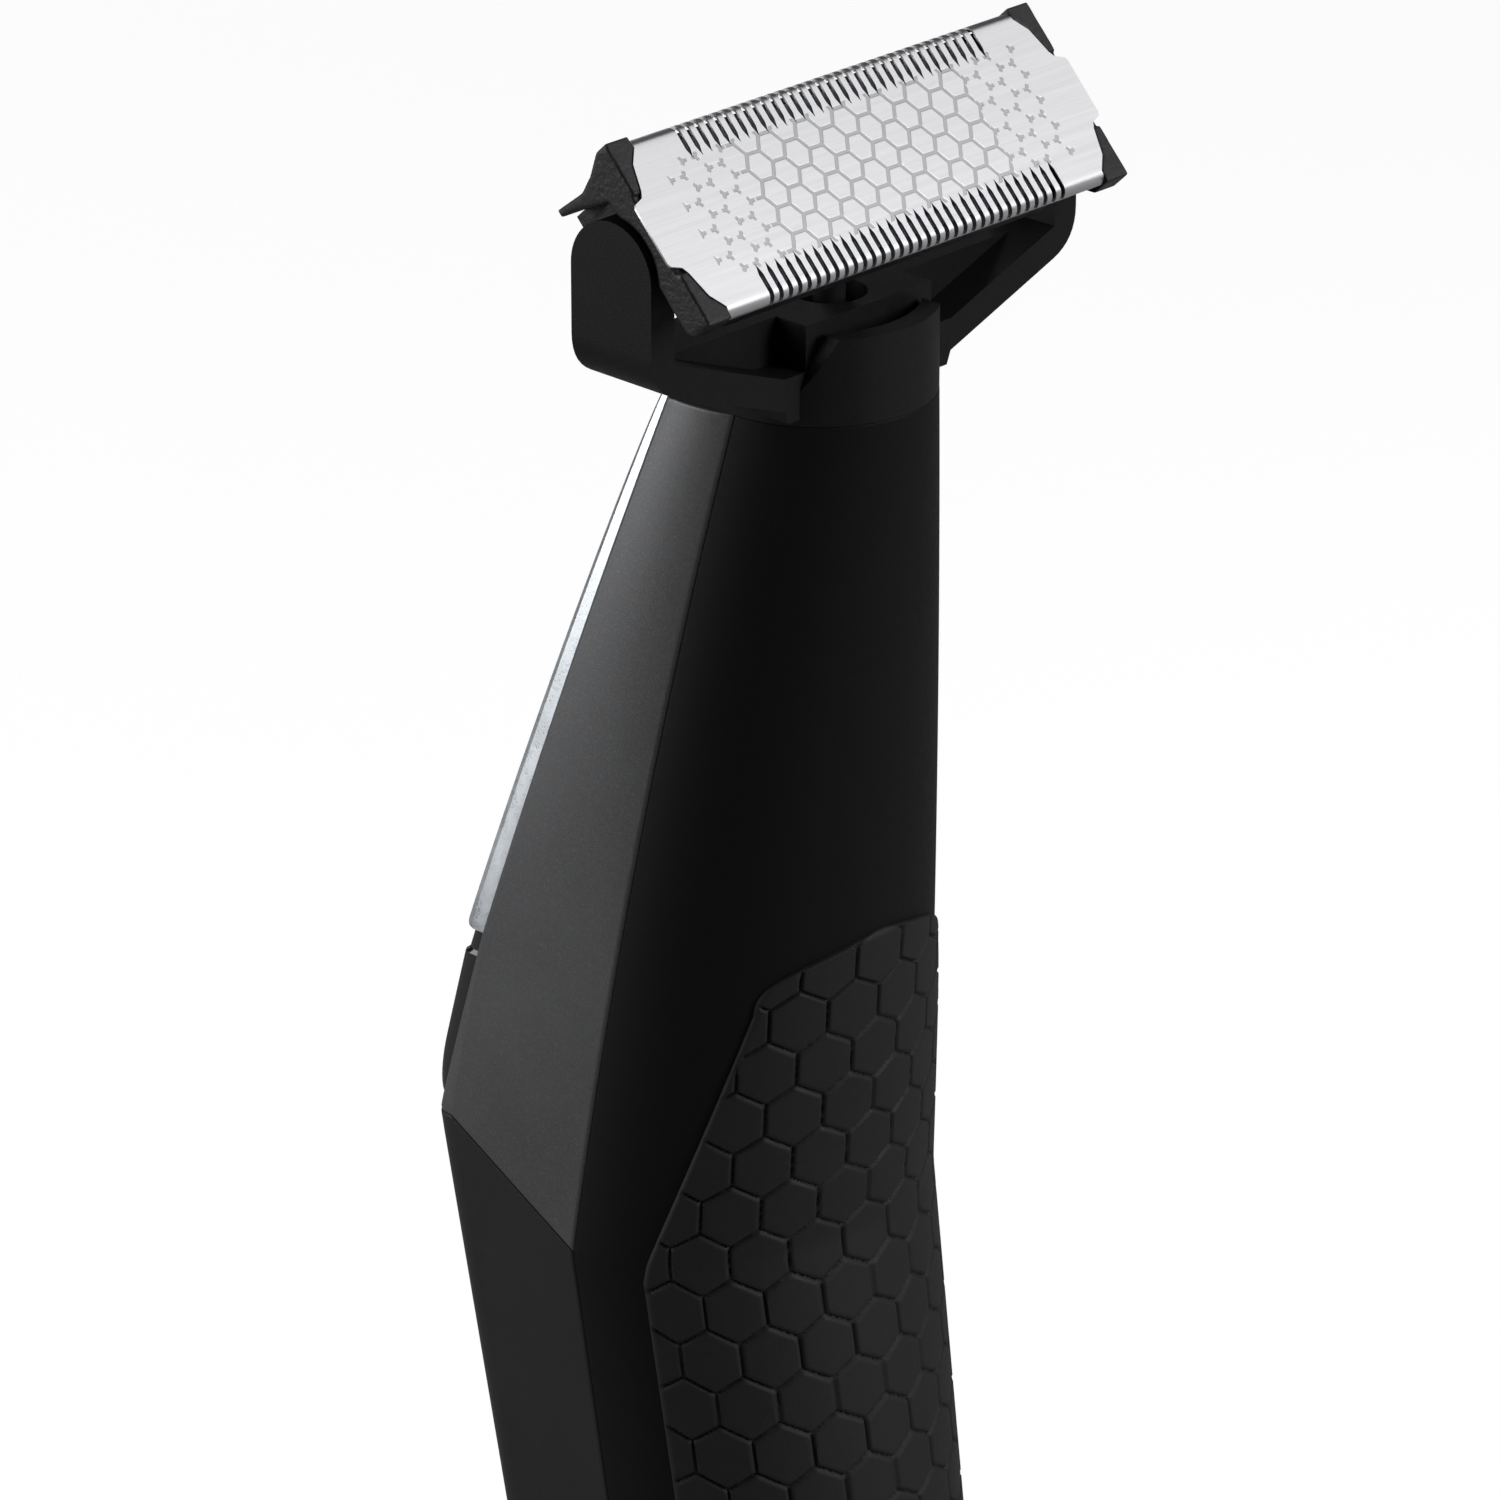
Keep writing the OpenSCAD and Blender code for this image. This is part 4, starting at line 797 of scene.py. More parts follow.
FINISHES = {
    "soft_black": lambda s: moulded(s, (0.50, 0.62), 5200.0, 0.000010, specular=0.10, lighter=1.05),
    "grip": lambda s: moulded(s, (0.55, 0.70), 4200.0, 0.000014, specular=0.28, lighter=1.3),
    "gunmetal": lambda s: moulded(s, (0.34, 0.46), 9000.0, 0.000008, metallic=0.55, lighter=1.22, fleck=1.9),
    "satin_black": lambda s: moulded(s, (0.34, 0.46), 6500.0, 0.000006, specular=0.25, lighter=1.25),
    "gloss_black": lambda s: moulded(s, (0.10, 0.18), 3000.0, 0.000002, specular=0.5, coat=0.5),
    "button": lambda s: moulded(s, (0.38, 0.5), 6000.0, 0.000010, specular=0.35),
    "head_black": lambda s: moulded(s, (0.42, 0.56), 7000.0, 0.000016, specular=0.16, lighter=1.4),
    "bracket_black": lambda s: moulded(s, (0.26, 0.62), 2600.0, 0.00008, specular=0.35, lighter=2.0),
    "grey_plastic": lambda s: moulded(s, (0.45, 0.6), 5000.0),
    "white_plastic": lambda s: moulded(s, (0.3, 0.42), 4000.0, lighter=1.1, specular=0.5),
    "cell_wrap": lambda s: moulded(s, (0.2, 0.3), 900.0, 0.00001, lighter=1.2, specular=0.5, coat=0.3),
    "magnet": lambda s: moulded(s, (0.5, 0.65), 5000.0, 0.00002, metallic=0.6),
    "silver_trim": lambda s: machined(s, (0.24, 0.36), 4200.0, 5200.0, 0.000006),
    "steel": lambda s: machined(s, (0.2, 0.34)),
    "blade_steel": lambda s: machined(s, (0.26, 0.4), 200.0, 9000.0),
    "contact": lambda s: machined(s, (0.25, 0.4)),
    "copper": lambda s: machined(s, (0.25, 0.36), 300.0, 5000.0),
    "foil_steel": etched_foil,
    "lens": clear_lens,
    "board": circuit,
}
MADE = {}


def finish_of(slot):
    """The material of a slot, made once."""
    if slot not in MADE:
        MADE[slot] = FINISHES[slot](slot)
    return MADE[slot]


# ---- Pieces of the handle ----


def outline(w, l, r, count=14):
    """A rectangle with rounded corners, counterclockwise: four quarter circles, count points each."""
    a = np.linspace(0, np.pi / 2, count)
    arcs = []
    for k, (sx, sy) in enumerate(((1, 1), (-1, 1), (-1, -1), (1, -1))):
        t = a + k * np.pi / 2
        arcs.append(np.stack([sx * (w / 2 - r) + r * np.cos(t), sy * (l / 2 - r) + r * np.sin(t)], -1))
    return np.concatenate(arcs)


def on_front(points):
    """Takes points in the button's frame, x across, y up the face and z out of it, to the handle's frame."""
    h, t = Handle(), bpy.context.scene.groomer_trim
    at = t.button_at
    y0, z0 = float(h.front_y(at)), float(h.level(at, h.s.front_drop))
    bow = 4 * h.s.front_bow * (1 - 2 * at)
    lean = np.arctan(-(h.s.front_y[1] - h.s.front_y[0] + bow) / h.s.front_drop)
    x, y, z = np.moveaxis(np.asarray(points, float), -1, 0)
    sine, cosine = np.sin(lean), np.cos(lean)
    return np.stack([x, y0 + y * sine - z * cosine, z0 + y * cosine + z * sine], -1)


def front_cutters():
    """Solids of the button's and the lens's openings through the front."""
    t = bpy.context.scene.groomer_trim
    hole = outline(t.button_w + 2 * t.button_gap, t.button_l + 2 * t.button_gap, t.button_r + t.button_gap)
    a = np.linspace(0, 2 * np.pi, 40, endpoint=False)
    lens = t.lens_r * np.stack([np.cos(a), np.sin(a)], -1) - np.array([0, t.lens_drop])
    made = []
    for name, flat in (("button_hole", hole), ("lens_hole", lens)):
        rings = [np.column_stack([flat, np.full(len(flat), z)]) for z in (4 * MM, -4 * MM)]
        made.append(object_of(name, stacked(name, on_front(rings))))
    return made


def stations(start, end, step, seams=()):
    """Stations from start to end, with a few more on both sides of each seam."""
    near = [s + d for s in seams for d in (-0.014, -0.008, -0.0045, -0.002, 0.0, 0.002, 0.0045, 0.008, 0.014)]
    ends = [0.0006, 0.0014, 0.0026, 0.0040, 0.0060]
    return np.array([v for v in crowd(start, end, int((end - start) / step) + 1, ends).tolist()
                     + [n for n in near if start < n < end]])


def sorted_column(values):
    """Stations in order, as a column."""
    return np.unique(values)[:, None]


def make_back_shell():
    """Back shell: the ellipse surface, its side and top edges sunk by a quarter round, and a wall inside."""
    h = Handle()
    v = sorted_column(stations(0.0, 2.0, 0.02, (1.0,)))
    close = np.array([0.15, 0.35, 0.6, 0.9, 1.3, 2.0]) * np.radians(0.9)
    phi = crowd(0.0, np.pi, 121, close)[None, :]
    arc = np.minimum(phi, np.pi - phi) * h.half_w(v)
    top = v * h.s.back_drop
    dip = np.minimum(seam_dip(arc, h.s.seam), seam_dip(top + 0 * phi, h.s.seam))
    outer = h.back(v, phi, dip)
    inner = h.back(v, phi, -h.s.wall)
    points, faces = wall_between(outer, inner)
    obj = object_of("back_cover", mesh_of("back_cover", points, faces))
    settle(obj, "handle", "back_shell")


def front_grid(h, v):
    """Outer and inner grids of a front shell between stations, mirrored to both sides."""
    side_t = crowd(2, 3, 26, [0.006, 0.012, 0.02, 0.03, 0.045, 0.065])
    t = np.concatenate([np.linspace(0, 1, 10)[:-1], np.linspace(1, 2, 9)[:-1], side_t])[None, :]
    side = np.where(t > 2, (3 - t) * np.hypot(h.half_w(v) - h.front_half(v), h.part_y(v) - h.front_y(v)), 1.0)
    ends = np.minimum((v - v.min()) * h.s.front_drop, (v.max() - v) * h.s.front_drop)
    dip = np.minimum(seam_dip(side, h.s.groove), seam_dip(ends + 0 * t, h.s.seam))
    grids = []
    for out in (dip, -h.s.wall + 0 * t):
        right = h.front(v, t, out)
        left = right[:, :0:-1] * np.array([-1, 1, 1])
        grids.append(np.concatenate([left, right], 1))
    return grids


def make_front_shells():
    """The gunmetal upper front with its two openings, and the satin lower front."""
    h = Handle()
    upper = front_grid(h, sorted_column(stations(0.0, 1.0, 0.02)))
    points, faces = wall_between(*upper)
    obj = object_of("front_cover", mesh_of("front_cover", points, faces))
    cut_away(obj, front_cutters())
    settle(obj, "handle", "front_shell")
    lower = front_grid(h, sorted_column(stations(1.0, 2.0, 0.03)))
    points, faces = wall_between(*lower)
    cover = object_of("lower_front_cover", mesh_of("lower_front_cover", points, faces))
    settle(cover, "handle", "lower_front_shell")


# Sections of the two bars on the front, from the foot of the side to the middle. Each point has its distance in from
# the side in millimetres, the share of the half width that this counts from, and its height as a share of the
# thickness with millimetres added.
PLATE_SECTION = (
    (0.0, 1.0, 0.0, 0.02), (0.0, 1.0, 0.0, 0.10), (0.0, 1.0, 0.69, 0.0), (0.02, 1.0, 0.715, 0.0),
    (0.19, 1.0, 0.96, 0.0), (0.27, 1.0, 0.99, 0.0), (0.6, 1.0, 1.0, 0.0), (0.0, 0.85, 1.0, 0.05),
    (0.0, 0.6, 1.0, 0.10), (0.0, 0.3, 1.0, 0.12), (0.0, 0.02, 1.0, 0.13),
)
PANEL_SECTION = (
    (0.0, 1.0, 0.0, 0.02), (0.01, 1.0, 0.45, 0.0), (0.25, 1.0, 0.82, 0.0), (0.6, 1.0, 0.95, 0.0),
    (1.2, 1.0, 1.0, 0.0), (0.0, 0.8, 1.0, 0.0), (0.0, 0.6, 1.0, 0.0), (0.0, 0.3, 1.0, 0.0), (0.0, 0.02, 1.0, 0.0),
)
# The button's rings over its rolled edge and into its dish, in millimetres: in from the side, down from the top.
BUTTON_RINGS = (
    (0, 0.45), (0.06, 0.2), (0.2, 0.06), (0.45, 0), (0.8, 0.02), (1.4, 0.12), (2.2, 0.24), (3.0, 0.30), (3.6, 0.32)
)
BUTTON_FLANGE = 1.2


def face_strip(h, v, section, half, top):
    """Rings of a bar along the front face: the section at each station, scaled to its half width and thickness, and
    mirrored."""
    inset, part, height, over = np.array(section).T
    across = half * part - inset * MM
    out = top * height + over * MM
    x = np.concatenate([across, -across[:, ::-1]], 1)
    o = np.concatenate([out, out[:, ::-1]], 1)
    return np.stack([x, h.front_y(v) - o, h.level(v, h.s.front_drop) + 0 * x], -1)


def reached(h, distance, run):
    """0 to 1 over a run in millimetres, for a distance in shares of the upper front."""
    return np.clip(distance * h.s.front_drop / (run * MM), 0, 1)


def make_front_plate():
    """Silver plate: an upright bright side, a steep facet, a soft edge and a slightly crowned face. It thickens with
    the square root of the distance from the neck, and its lower end is rounded off."""
    h, t = Handle(), bpy.context.scene.groomer_trim
    v = sorted_column(crowd(0.004, t.plate_end, 60, [0.001, 0.003, 0.006, 0.01]))
    thick = lerp(t.plate_top_t, t.plate_low_t, np.sqrt(v / t.plate_end)) - t.plate_crown
    top = thick * (0.8 + 0.2 * np.sqrt(reached(h, t.plate_end - v, 0.5)))
    rings = face_strip(h, v, PLATE_SECTION, h.face_half(v, t.trim_edge), top)
    settle(object_of("silver_plate", stacked("silver_plate", rings, 24.0)), "handle", "front_plate")


def make_thumb_panel():
    """Black panel round the button: rounded edges, a lower ledge up to the plate, and a foot that sinks in a quarter
    round towards the bend."""
    h, t = Handle(), bpy.context.scene.groomer_trim
    end = 0.995
    rise = t.panel_start + np.linspace(-0.002, 0.006, 9)
    even = crowd(t.plate_end + 0.003, end, 30, [0.001, 0.003, 0.006, 0.01, 0.015])
    v = sorted_column(np.concatenate([even, rise]))
    full = reached(h, v - t.panel_start, 0.3)
    foot = np.sqrt(1 - (1 - reached(h, end - v, 5.0)) ** 2)
    top = t.panel_t * (0.85 + 0.15 * full) * (0.2 + 0.8 * foot)
    half = h.face_half(v, t.panel_edge) - t.ledge_inset * (1 - full)
    obj = object_of("thumb_cover", stacked("thumb_cover", face_strip(h, v, PANEL_SECTION, half, top), 30.0))
    settle(cut_away(obj, front_cutters()), "handle", "thumb_panel")


def make_power_button():
    """Power button: rounded rectangle rings from the flange inside up over a rolled edge into a shallow dish."""
    t = bpy.context.scene.groomer_trim
    wall, top = bpy.context.scene.groomer_handle.wall, t.panel_t + t.button_proud
    rings = []
    for out, depth in ((BUTTON_FLANGE, 0.8), (BUTTON_FLANGE, 0.1), (0, 0.1)):
        flat = outline(t.button_w + 2 * out * MM, t.button_l + out * MM, t.button_r)
        rings.append(np.column_stack([flat, np.full(len(flat), -wall - depth * MM)]))
    for inset, down in BUTTON_RINGS:
        g = inset * MM
        flat = outline(t.button_w - 2 * g, t.button_l - 2 * g, max(t.button_r - 0.6 * g, 0.35 * MM))
        rings.append(np.column_stack([flat, np.full(len(flat), top - down * MM)]))
    settle(object_of("button_cap", stacked("button_cap", on_front(rings))), "button", "power_button")


def grip_angle(h, s, z):
    """Angle of the pad's edge at a height: a straight flare, and a rounded top."""
    d = NECK_Z - z - s.top_drop
    slope = np.clip((h.s.side_drop - s.top_drop - d) / (h.s.side_drop - s.top_drop - s.round_h), 0, 1)
    side = lerp(s.edge_deg, s.shoulder_deg, slope)
    return np.radians(lerp(side, 88.0, (1 - np.clip(d / s.round_h, 0, 1)) ** 3))


def hexagon_lift(u, v, edge, width):
    """0 in the grooves and 1 on the cells of a honeycomb with corners up, from the distance to the nearest cell's
    border, eased over the width."""
    best = None
    for du, dv in ((0.0, 0.0), (0.5, 0.5)):
        a = np.abs((u / (3**0.5 * edge) + du) % 1.0 - 0.5) * 3**0.5 * edge
        b = np.abs((v / (3 * edge) + dv) % 1.0 - 0.5) * 3 * edge
        gap = 3**0.5 / 2 * edge - np.maximum(a, a / 2 + b * 3**0.5 / 2)
        best = gap if best is None else np.maximum(best, gap)
    k = np.clip(best / width, 0, 1)
    return k * k * (3 - 2 * k)


def make_grip_pad():
    """Soft pad on the back: the shell's own surface raised in hexagons, with grooves between and a border that rises
    in a quarter round."""
    h, s = Handle(), bpy.context.scene.groomer_grip
    glue, under, border_w = 0.02 * MM, 0.05 * MM, 0.55 * MM
    top, foot, shoulder = NECK_Z - s.top_drop, CAP_Z + s.foot, NECK_Z - s.top_drop - s.round_h
    z = np.concatenate([np.linspace(top - 0.01 * MM, shoulder, 60)[:-1], np.linspace(shoulder, foot, 400)])
    bend_z = NECK_Z - h.s.back_drop
    v = np.where(z >= bend_z, (NECK_Z - z) / h.s.back_drop, 1 + (bend_z - z) / (bend_z - CAP_Z))[:, None]
    edge = grip_angle(h, s, z)[:, None]
    t = crowd(0.0, 1.0, 200, [0.002, 0.005])[None, :]
    phi = lerp(edge, np.pi - edge, t)
    flat = h.back(v, phi, glue)
    mean_w = lerp(h.half_w(v), h.back_y(v) - h.part_y(v), 0.35)
    around = (phi - np.pi / 2) * mean_w
    depth = np.minimum(t, 1 - t) * (np.pi - 2 * edge) * mean_w
    ends = np.minimum(top - z, z - foot)[:, None]
    border = np.clip(np.minimum(depth, ends) / border_w, 0, 1)
    cells = hexagon_lift(around, flat[..., 2], s.hex_edge, s.groove_w / 2)
    lift = s.thick * np.sqrt(np.maximum(1 - (1 - border) ** 2, 0)) - s.groove_d * (1 - cells) * border**2
    outer = h.back(v, phi, glue + np.maximum(lift, 0))
    picks = np.linspace(0, phi.shape[1] - 1, 9).astype(int).tolist()
    inner = h.back(v, phi[:, picks], -under)
    settle(object_of("grip_cover", thin_backed("grip_cover", outer, inner, picks)), "handle", "grip_pad")


# ---- Pieces of the head ----


def in_cartridge(points):
    """Takes points in the cartridge's frame to the part's frame: x along the foil, w across, n out of its face."""
    a = np.radians(bpy.context.scene.groomer_foil.tilt_deg)
    sine, cosine = np.sin(a), np.cos(a)
    x, w, n = np.moveaxis(np.asarray(points, float), -1, 0)
    return np.stack([x + PIVOT.x, PIVOT.y + w * cosine + n * sine, PIVOT.z - w * sine + n * cosine], -1)


def foil_profile(s):
    """Across the foil from one rolled edge to the other, pairs of w and depth under the face: skirt, quarter round,
    the slots' length, and the rest. Also the row where the slots end."""
    r, half = s.roll_r, s.width / 2
    a = np.linspace(0, np.pi / 2, 8)
    skirt = [(half, s.skirt), (half, s.skirt * 0.75), (half, r + 0.08 * MM)]
    arc = [(half - r + r * np.cos(b), r - r * np.sin(b)) for b in a]
    inner = half - s.slot_l
    face = [(w, 0.0) for w in np.linspace(half - r, inner, 6)[1:]]
    rest = [(w, 0.0) for w in np.linspace(inner, 0, 9)[1:]]
    side = np.array(skirt + arc + face + rest)
    full = np.concatenate([side, side[-2::-1] * np.array([-1, 1])])
    return full, len(skirt) + len(arc) + len(face) - 1


def foil_end(s, side):
    """One end of the foil beyond its face, at w across: out to a bulge, and in its middle to the tab."""
    step, root = 0.3 * MM, s.tab_root + 2 * MM
    rim = np.array([
        (0, s.tab_l), (s.tab_half - step, s.tab_l), (s.tab_half, s.tab_l - step / 2),
        (s.tab_half + step, s.bulge + step), (s.tab_root, s.bulge), (root, 0.6 * s.bulge),
        (s.width / 2 - s.roll_r, 0.02 * MM),
    ])
    w = np.concatenate([-rim[:0:-1, 0], rim[:, 0]])[None, :]
    x = side * (s.flat_l / 2 + np.linspace(0, 1, 4)[:, None] * np.interp(np.abs(w), rim[:, 0], rim[:, 1]))
    return np.stack(np.broadcast_arrays(x, w, s.rise + 0 * x), -1)


def make_foil():
    """Foil: a profile across, carried along x, with columns at the slots' sides. Faces inside a slot are left out,
    its inner end comes to a point, and its outer edge is scalloped from tooth to tooth."""
    s = bpy.context.scene.groomer_foil
    in_slot, slot_point, scallop_d = 0.49, 0.75 * MM, 0.12 * MM
    profile, end_row = foil_profile(s)
    rows = len(profile)
    half = s.flat_l / 2
    centers = (np.arange(s.slots) - (s.slots - 1) / 2) * s.slot_pitch
    offsets = np.array([-0.5, -0.3, 0, 0.3, 0.5]) * s.slot_w
    cols = (centers[:, None] + offsets[None, :]).ravel()
    land = centers[:-1] + s.slot_pitch / 2
    margin = np.linspace(half, centers[-1] + s.slot_pitch, 5)
    cols = np.unique(np.round(np.concatenate([cols, land, margin, -margin]), 8))
    nearest = np.abs(cols[:, None] - centers[None, :]).min(1)
    slot_col = (nearest[:-1] + nearest[1:]) / 2 < s.slot_w * in_slot
    x = np.broadcast_to(cols[:, None], (len(cols), rows)).copy()
    w = np.broadcast_to(profile[None, :, 0], x.shape).copy()
    n = s.rise - np.broadcast_to(profile[None, :, 1], x.shape)
    point = slot_point * np.clip(1 - nearest / (s.slot_w * 0.5), 0, 1)
    w[:, end_row] -= point
    w[:, rows - 1 - end_row] += point
    tooth = np.clip(np.abs(nearest / (s.slot_pitch / 2) - 0.72) / 0.28, 0, 1)
    scallop = scallop_d * np.where(nearest > s.slot_w * in_slot, tooth**2, 0)
    w[:, :3] -= scallop[:, None]
    w[:, -3:] += scallop[:, None]
    quads = grid_faces(len(cols), rows, flip=True).reshape(len(cols) - 1, rows - 1, 4)
    keep = np.ones(quads.shape[:2], bool)
    keep[slot_col, :end_row] = False
    keep[slot_col, rows - 1 - end_row:] = False
    grids, faces, count = [np.stack([x, w, n], -1)], [quads[keep]], x.size
    for side in (-1, 1):
        end = foil_end(s, side)
        faces.append(grid_faces(*end.shape[:2], count, flip=side < 0))
        grids.append(end)
        count += end.size // 3
    sheet = np.concatenate([grid.reshape(-1, 3) for grid in grids])
    mesh = mesh_of("foil_sheet", in_cartridge(sheet), np.concatenate(faces), sheet[:, :2] / MM, 40.0)
    obj = object_of("foil_sheet", mesh)
    wall = obj.modifiers.new("Sheet", "SOLIDIFY")
    wall.thickness = s.thick
    wall.offset = -1.0
    settle(cut_away(obj), "cartridge", "foil")


def coil_piece(name, center, axis, mean_r, wire_r, turns, depth):
    """Round wire swept along a helix round an axis through a centre."""
    axis = np.array(axis, float)
    side = np.array([0.0, 1.0, 0.0]) if abs(axis[0]) > 0.5 else np.array([1.0, 0.0, 0.0])
    other = np.cross(axis, side)
    t = np.linspace(0, 2 * np.pi * turns, int(28 * turns) + 1)[:, None, None]
    b = np.linspace(0, 2 * np.pi, 12, endpoint=False)[None, :, None]
    out = np.cos(t) * side + np.sin(t) * other
    run = wire_r + (depth - 2 * wire_r) * t / t.max()
    points = np.array(center, float) + (mean_r + wire_r * np.cos(b)) * out + (run + wire_r * np.sin(b)) * axis
    return stacked(name, points)


def make_springs():
    """Tilt springs round the pivot pins, and the springs under the cutter. Sizes in millimetres."""
    pocket, play, tilt_r, tilt_wire = 1.8, 0.1, 1.75, 0.22
    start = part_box("cassette")[1].x - pocket * MM + play * MM
    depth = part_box("tilt_springs")[1].x - start
    coils = [coil_piece("tilt_coil", (sign * start, 0, PIVOT.z), (sign, 0, 0), tilt_r * MM, tilt_wire * MM, 3, depth)
             for sign in (-1, 1)]
    join_pieces("tilt_coils", coils, "head", "tilt_springs")
    a = np.radians(bpy.context.scene.groomer_foil.tilt_deg)
    out_of_face = np.array([0, np.sin(a), np.cos(a)])
    float_r, float_wire, foot, depth = 1.4, 0.2, 0.05, 2.45
    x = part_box("cutter_springs")[1].x - (float_r + float_wire) * MM
    coils = [coil_piece("float_coil", in_cartridge((sign * x, 0, foot * MM)), out_of_face, float_r * MM,
                        float_wire * MM, 4, depth * MM) for sign in (-1, 1)]
    join_pieces("float_coils", coils, "cutter", "cutter_springs")


def join_pieces(name, meshes, body, node):
    """One piece from several meshes."""
    bm = bmesh.new()
    for mesh in meshes:
        bm.from_mesh(mesh)
    whole = bpy.data.meshes.new(name)
    bm.to_mesh(whole)
    bm.free()
    whole.set_sharp_from_angle(angle=np.radians(50))
    return settle(object_of(name, whole), body, node)


# The body and the rounding in millimetres of the pieces whose CAD shape is kept
EDGES = {
    "yoke": ("head", 0.35), "cassette": ("cartridge", 0.18), "cutter_carrier": ("cutter", 0.2),
    "cutter_blade": ("cutter", 0.0), "drive_lever": ("lever", 0.15), "neck_collar": ("handle", 0.2),
    "base_cap": ("handle", 0.0), "charge_socket": ("handle", 0.15), "inner_frame": ("handle", 0.15),
    "drive_bracket": ("handle", 0.15), "pivot_pins": ("head", 0.1), "motor_can": ("handle", 0.15),
    "motor_end_cap": ("handle", 0.15), "battery_cell": ("handle", 0.3), "base_screws": ("handle", 0.08),
    "tact_switch": ("handle", 0.1), "latch_clips": ("head", 0.06), "charge_lens": ("handle", 0.08),
    "circuit_board": ("handle", 0.06),
}


def make_refined():
    """Every machined or moulded piece whose CAD shape is kept: merged, with its edges rounded. The foil's end brackets
    are smoothed all over instead."""
    for node, (body, rounding) in EDGES.items():
        settle(refined(node, rounding * MM), body, node)
    for node in ("end_bracket_right", "end_bracket_left"):
        settle(softened(node, 0.12 * MM, 8), "cartridge", node)


def dress_the_rest():
    """Gives the CAD nodes that stay shown their finishes."""
    for node, obj in frame["nodes"].items():
        obj.data.materials.clear()
        obj.data.materials.append(finish_of(SLOTS[node]))


# ---- Stage ----


def make_floor():
    """A wide pale floor."""
    size = 3.0
    points = [(-size, -size, 0), (size, -size, 0), (size, size, 0), (-size, size, 0)]
    floor = object_of("floor", mesh_of("floor", points, [[0, 1, 2, 3]]))
    material = bpy.data.materials.new("floor")
    material.use_nodes = True
    tree = material.node_tree
    shader = tree.nodes["Principled BSDF"]
    look = bpy.context.scene.groomer_look
    shader.inputs["Base Color"].default_value = (*(look.dim * Color(look.floor)), 1)
    shader.inputs["Roughness"].default_value = 0.9
    shader.inputs["Specular IOR Level"].default_value = 0.0
    shader.inputs["Emission Color"].default_value = (*look.floor, 1)
    rays = tree.nodes.new("ShaderNodeLightPath")
    seen = ramp(tree, rays.outputs["Is Camera Ray"], 0, 1, look.spill, look.glow)
    tree.links.new(seen, shader.inputs["Emission Strength"])
    floor.data.materials.append(material)


def area_light(name, place, target, size, power):
    """A square softbox that faces a target."""
    light = bpy.data.lights.new(name, "AREA")
    light.shape = "RECTANGLE"
    light.size, light.size_y = size
    light.energy = power
    obj = bpy.data.objects.new(name, light)
    bpy.context.scene.collection.objects.link(obj)
    obj.location = place
    obj.rotation_euler = (Vector(target) - Vector(place)).to_track_quat("-Z", "Y").to_euler()


def make_lights():
    """Five softboxes, one of them behind the head, where the foil mirrors it, and an even surround."""
    look = bpy.context.scene.groomer_look
    aim = (0, 0, PIVOT.z - 0.03)
    area_light("left", (0.55, -0.55, 0.26), aim, (0.5, 0.7), look.key)
    area_light("overhead", (0.05, 0.05, 0.75), aim, (0.6, 0.6), look.top)
    area_light("behind", (-0.45, 0.30, 0.52), PIVOT, (0.6, 0.6), look.foil_light)
    area_light("right", (-0.30, 0.75, 0.45), aim, (0.25, 0.5), look.rim)
    area_light("front", (-0.35, -0.85, 0.45), aim, (0.5, 0.5), look.front)
    world = bpy.data.worlds.new("surround")
    bpy.context.scene.world = world
    world.use_nodes = True
    tree = world.node_tree
    surround = tree.nodes["Background"]
    surround.inputs["Color"].default_value = (1, 1, 1, 1)
    rays = tree.nodes.new("ShaderNodeLightPath")
    seen = ramp(tree, rays.outputs["Is Camera Ray"], 0, 1, look.world, look.backdrop)
    tree.links.new(seen, surround.inputs["Strength"])


def make_camera():
    """Camera over the back right, looking down at the head."""
    head = Vector((0, 0.0042, NECK_Z + 0.0183))
    camera = bpy.data.objects.new("camera", bpy.data.cameras.new("camera"))
    bpy.context.scene.collection.objects.link(camera)
    camera.location = head + Vector((0.3900, 0.3625, 0.1861))
    camera.rotation_euler = Vector((-0.6615, -0.6352, -0.3987)).to_track_quat("-Z", "Y").to_euler()
    camera.data.lens = bpy.context.scene.groomer_look.lens
    camera.data.sensor_width = 36.0
    camera.data.clip_start = 0.01
    bpy.context.scene.camera = camera
    bpy.context.scene.view_settings.view_transform = "Standard"


# ---- Operators ----


class GROOMER_OT_shells(bpy.types.Operator):
    """Makes the back shell and both front shells"""

    bl_idname = "groomer.shells"
    bl_label = "Handle shells"

    def execute(self, context):
        make_back_shell()
        make_front_shells()
        return {"FINISHED"}


class GROOMER_OT_trim(bpy.types.Operator):
    """Makes the silver plate, the thumb panel and the power button"""

    bl_idname = "groomer.trim"
    bl_label = "Front trim and button"

    def execute(self, context):
        make_front_plate()
        make_thumb_panel()
        make_power_button()
        return {"FINISHED"}


class GROOMER_OT_grip(bpy.types.Operator):
    """Makes the soft pad with its hexagons"""

    bl_idname = "groomer.grip"
    bl_label = "Grip pad"

    def execute(self, context):
        make_grip_pad()
        return {"FINISHED"}


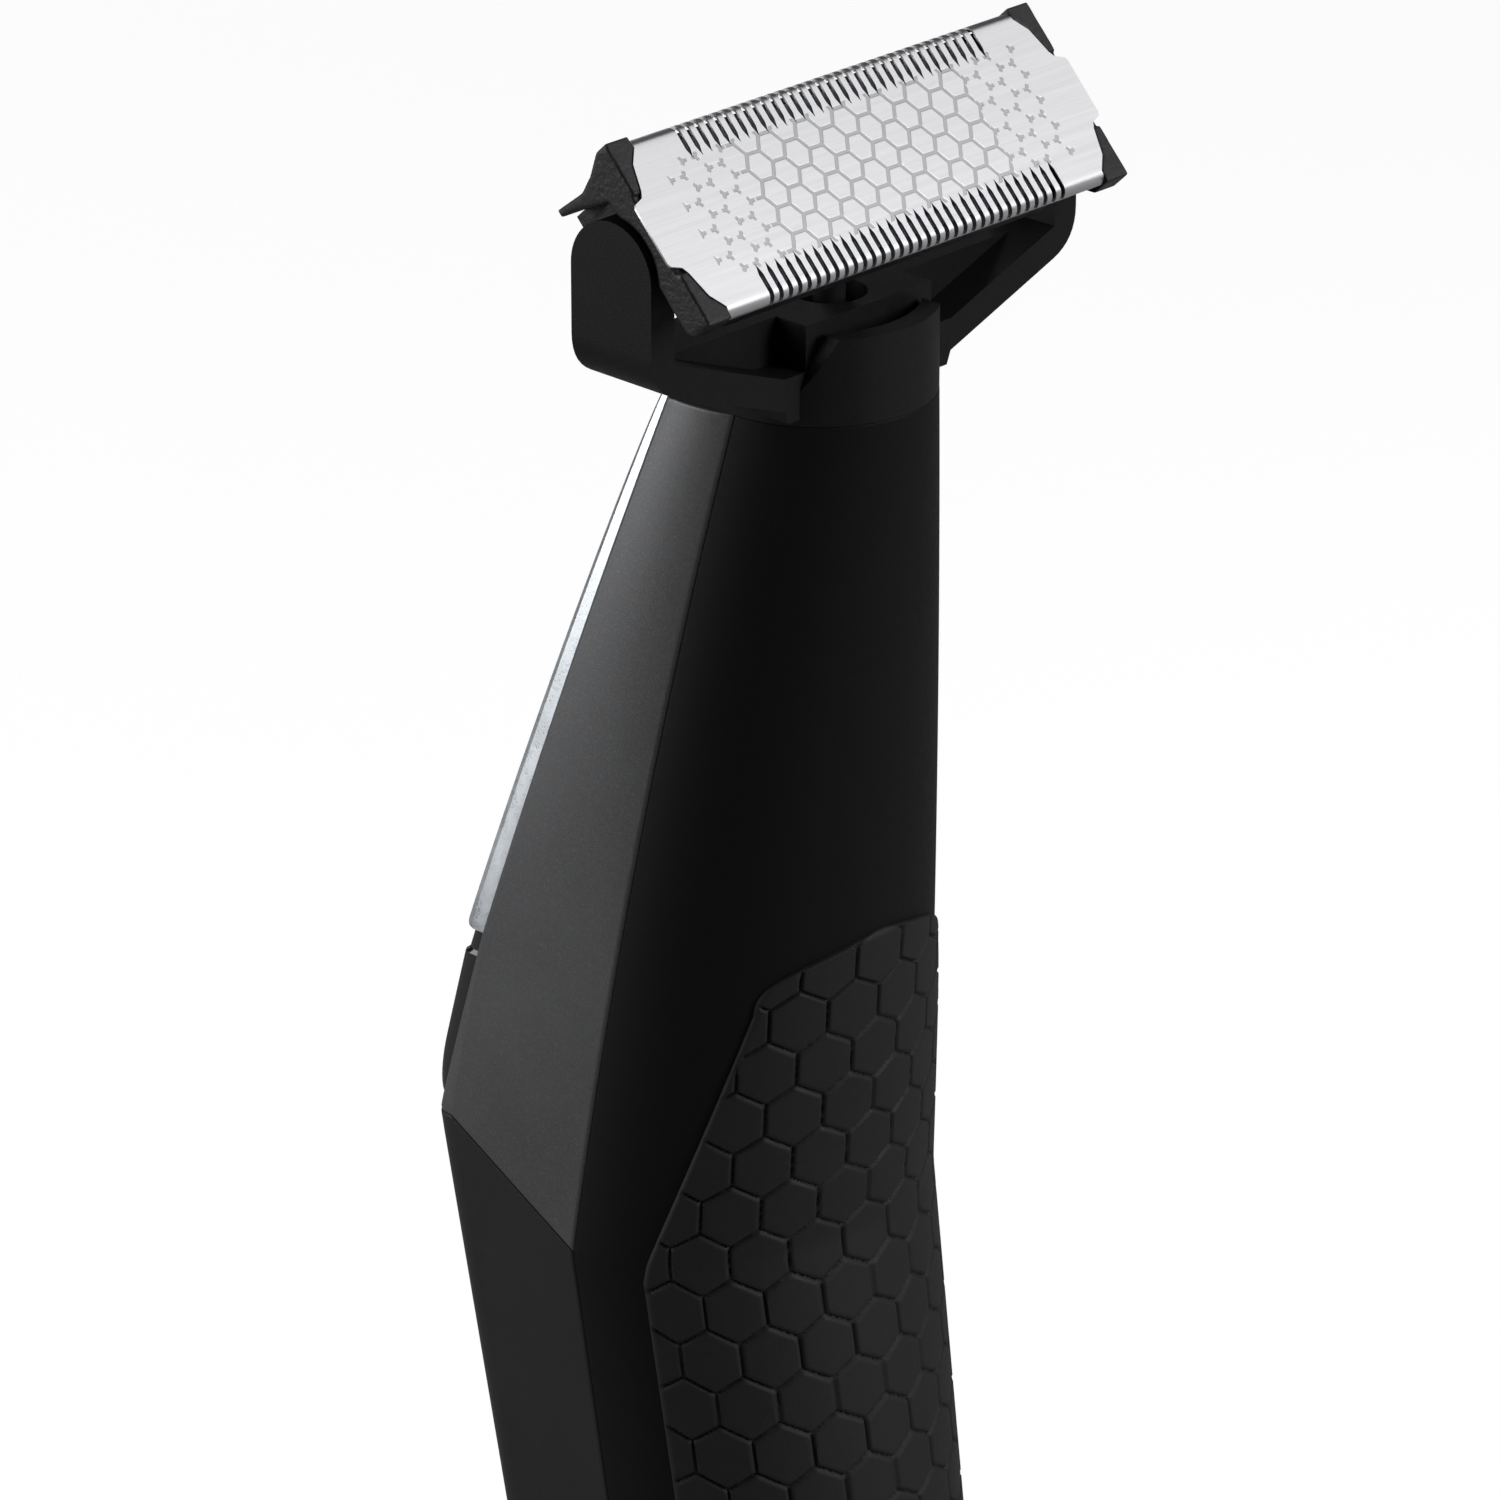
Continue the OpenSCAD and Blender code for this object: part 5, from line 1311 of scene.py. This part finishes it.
class GROOMER_OT_foil(bpy.types.Operator):
    """Makes the foil and the springs of the head"""

    bl_idname = "groomer.foil"
    bl_label = "Foil and springs"

    def execute(self, context):
        make_foil()
        make_springs()
        return {"FINISHED"}


class GROOMER_OT_refine(bpy.types.Operator):
    """Rounds the edges of the machined and moulded pieces, and gives every piece its finish"""

    bl_idname = "groomer.refine"
    bl_label = "Other pieces"

    def execute(self, context):
        make_refined()
        dress_the_rest()
        return {"FINISHED"}


class GROOMER_OT_stage(bpy.types.Operator):
    """Makes the floor, the lights and the camera"""

    bl_idname = "groomer.stage"
    bl_label = "Stage"

    def execute(self, context):
        make_floor()
        make_lights()
        make_camera()
        return {"FINISHED"}


class GROOMER_PT_panel(bpy.types.Panel):
    """Lists the groomer's steps and sizes"""

    bl_label = "Body groomer"
    bl_idname = "GROOMER_PT_panel"
    bl_space_type = "VIEW_3D"
    bl_region_type = "UI"
    bl_category = "Groomer"

    def draw(self, context):
        for step in STEPS:
            self.layout.operator(step.bl_idname)
        for name in PROPERTIES:
            box = self.layout.box()
            group_of = getattr(context.scene, name)
            for key in group_of.__annotations__:
                box.prop(group_of, key)


STEPS = (
    GROOMER_OT_stage, GROOMER_OT_shells, GROOMER_OT_trim, GROOMER_OT_grip, GROOMER_OT_foil, GROOMER_OT_refine
)
PROPERTIES = {
    "groomer_handle": GroomerHandle,
    "groomer_trim": GroomerTrim,
    "groomer_grip": GroomerGrip,
    "groomer_foil": GroomerFoil,
    "groomer_look": GroomerLook,
}


def register():
    for cls in (*PROPERTIES.values(), *STEPS, GROOMER_PT_panel):
        bpy.utils.register_class(cls)
    for name, cls in PROPERTIES.items():
        setattr(bpy.types.Scene, name, PointerProperty(type=cls))


def unregister():
    for name in PROPERTIES:
        delattr(bpy.types.Scene, name)
    for cls in reversed((*PROPERTIES.values(), *STEPS, GROOMER_PT_panel)):
        bpy.utils.unregister_class(cls)


def main():
    """Registers the add-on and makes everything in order."""
    register()
    for step in STEPS:
        family, name = step.bl_idname.split(".")
        getattr(getattr(bpy.ops, family), name)()


if __name__ == "__main__":
    main()
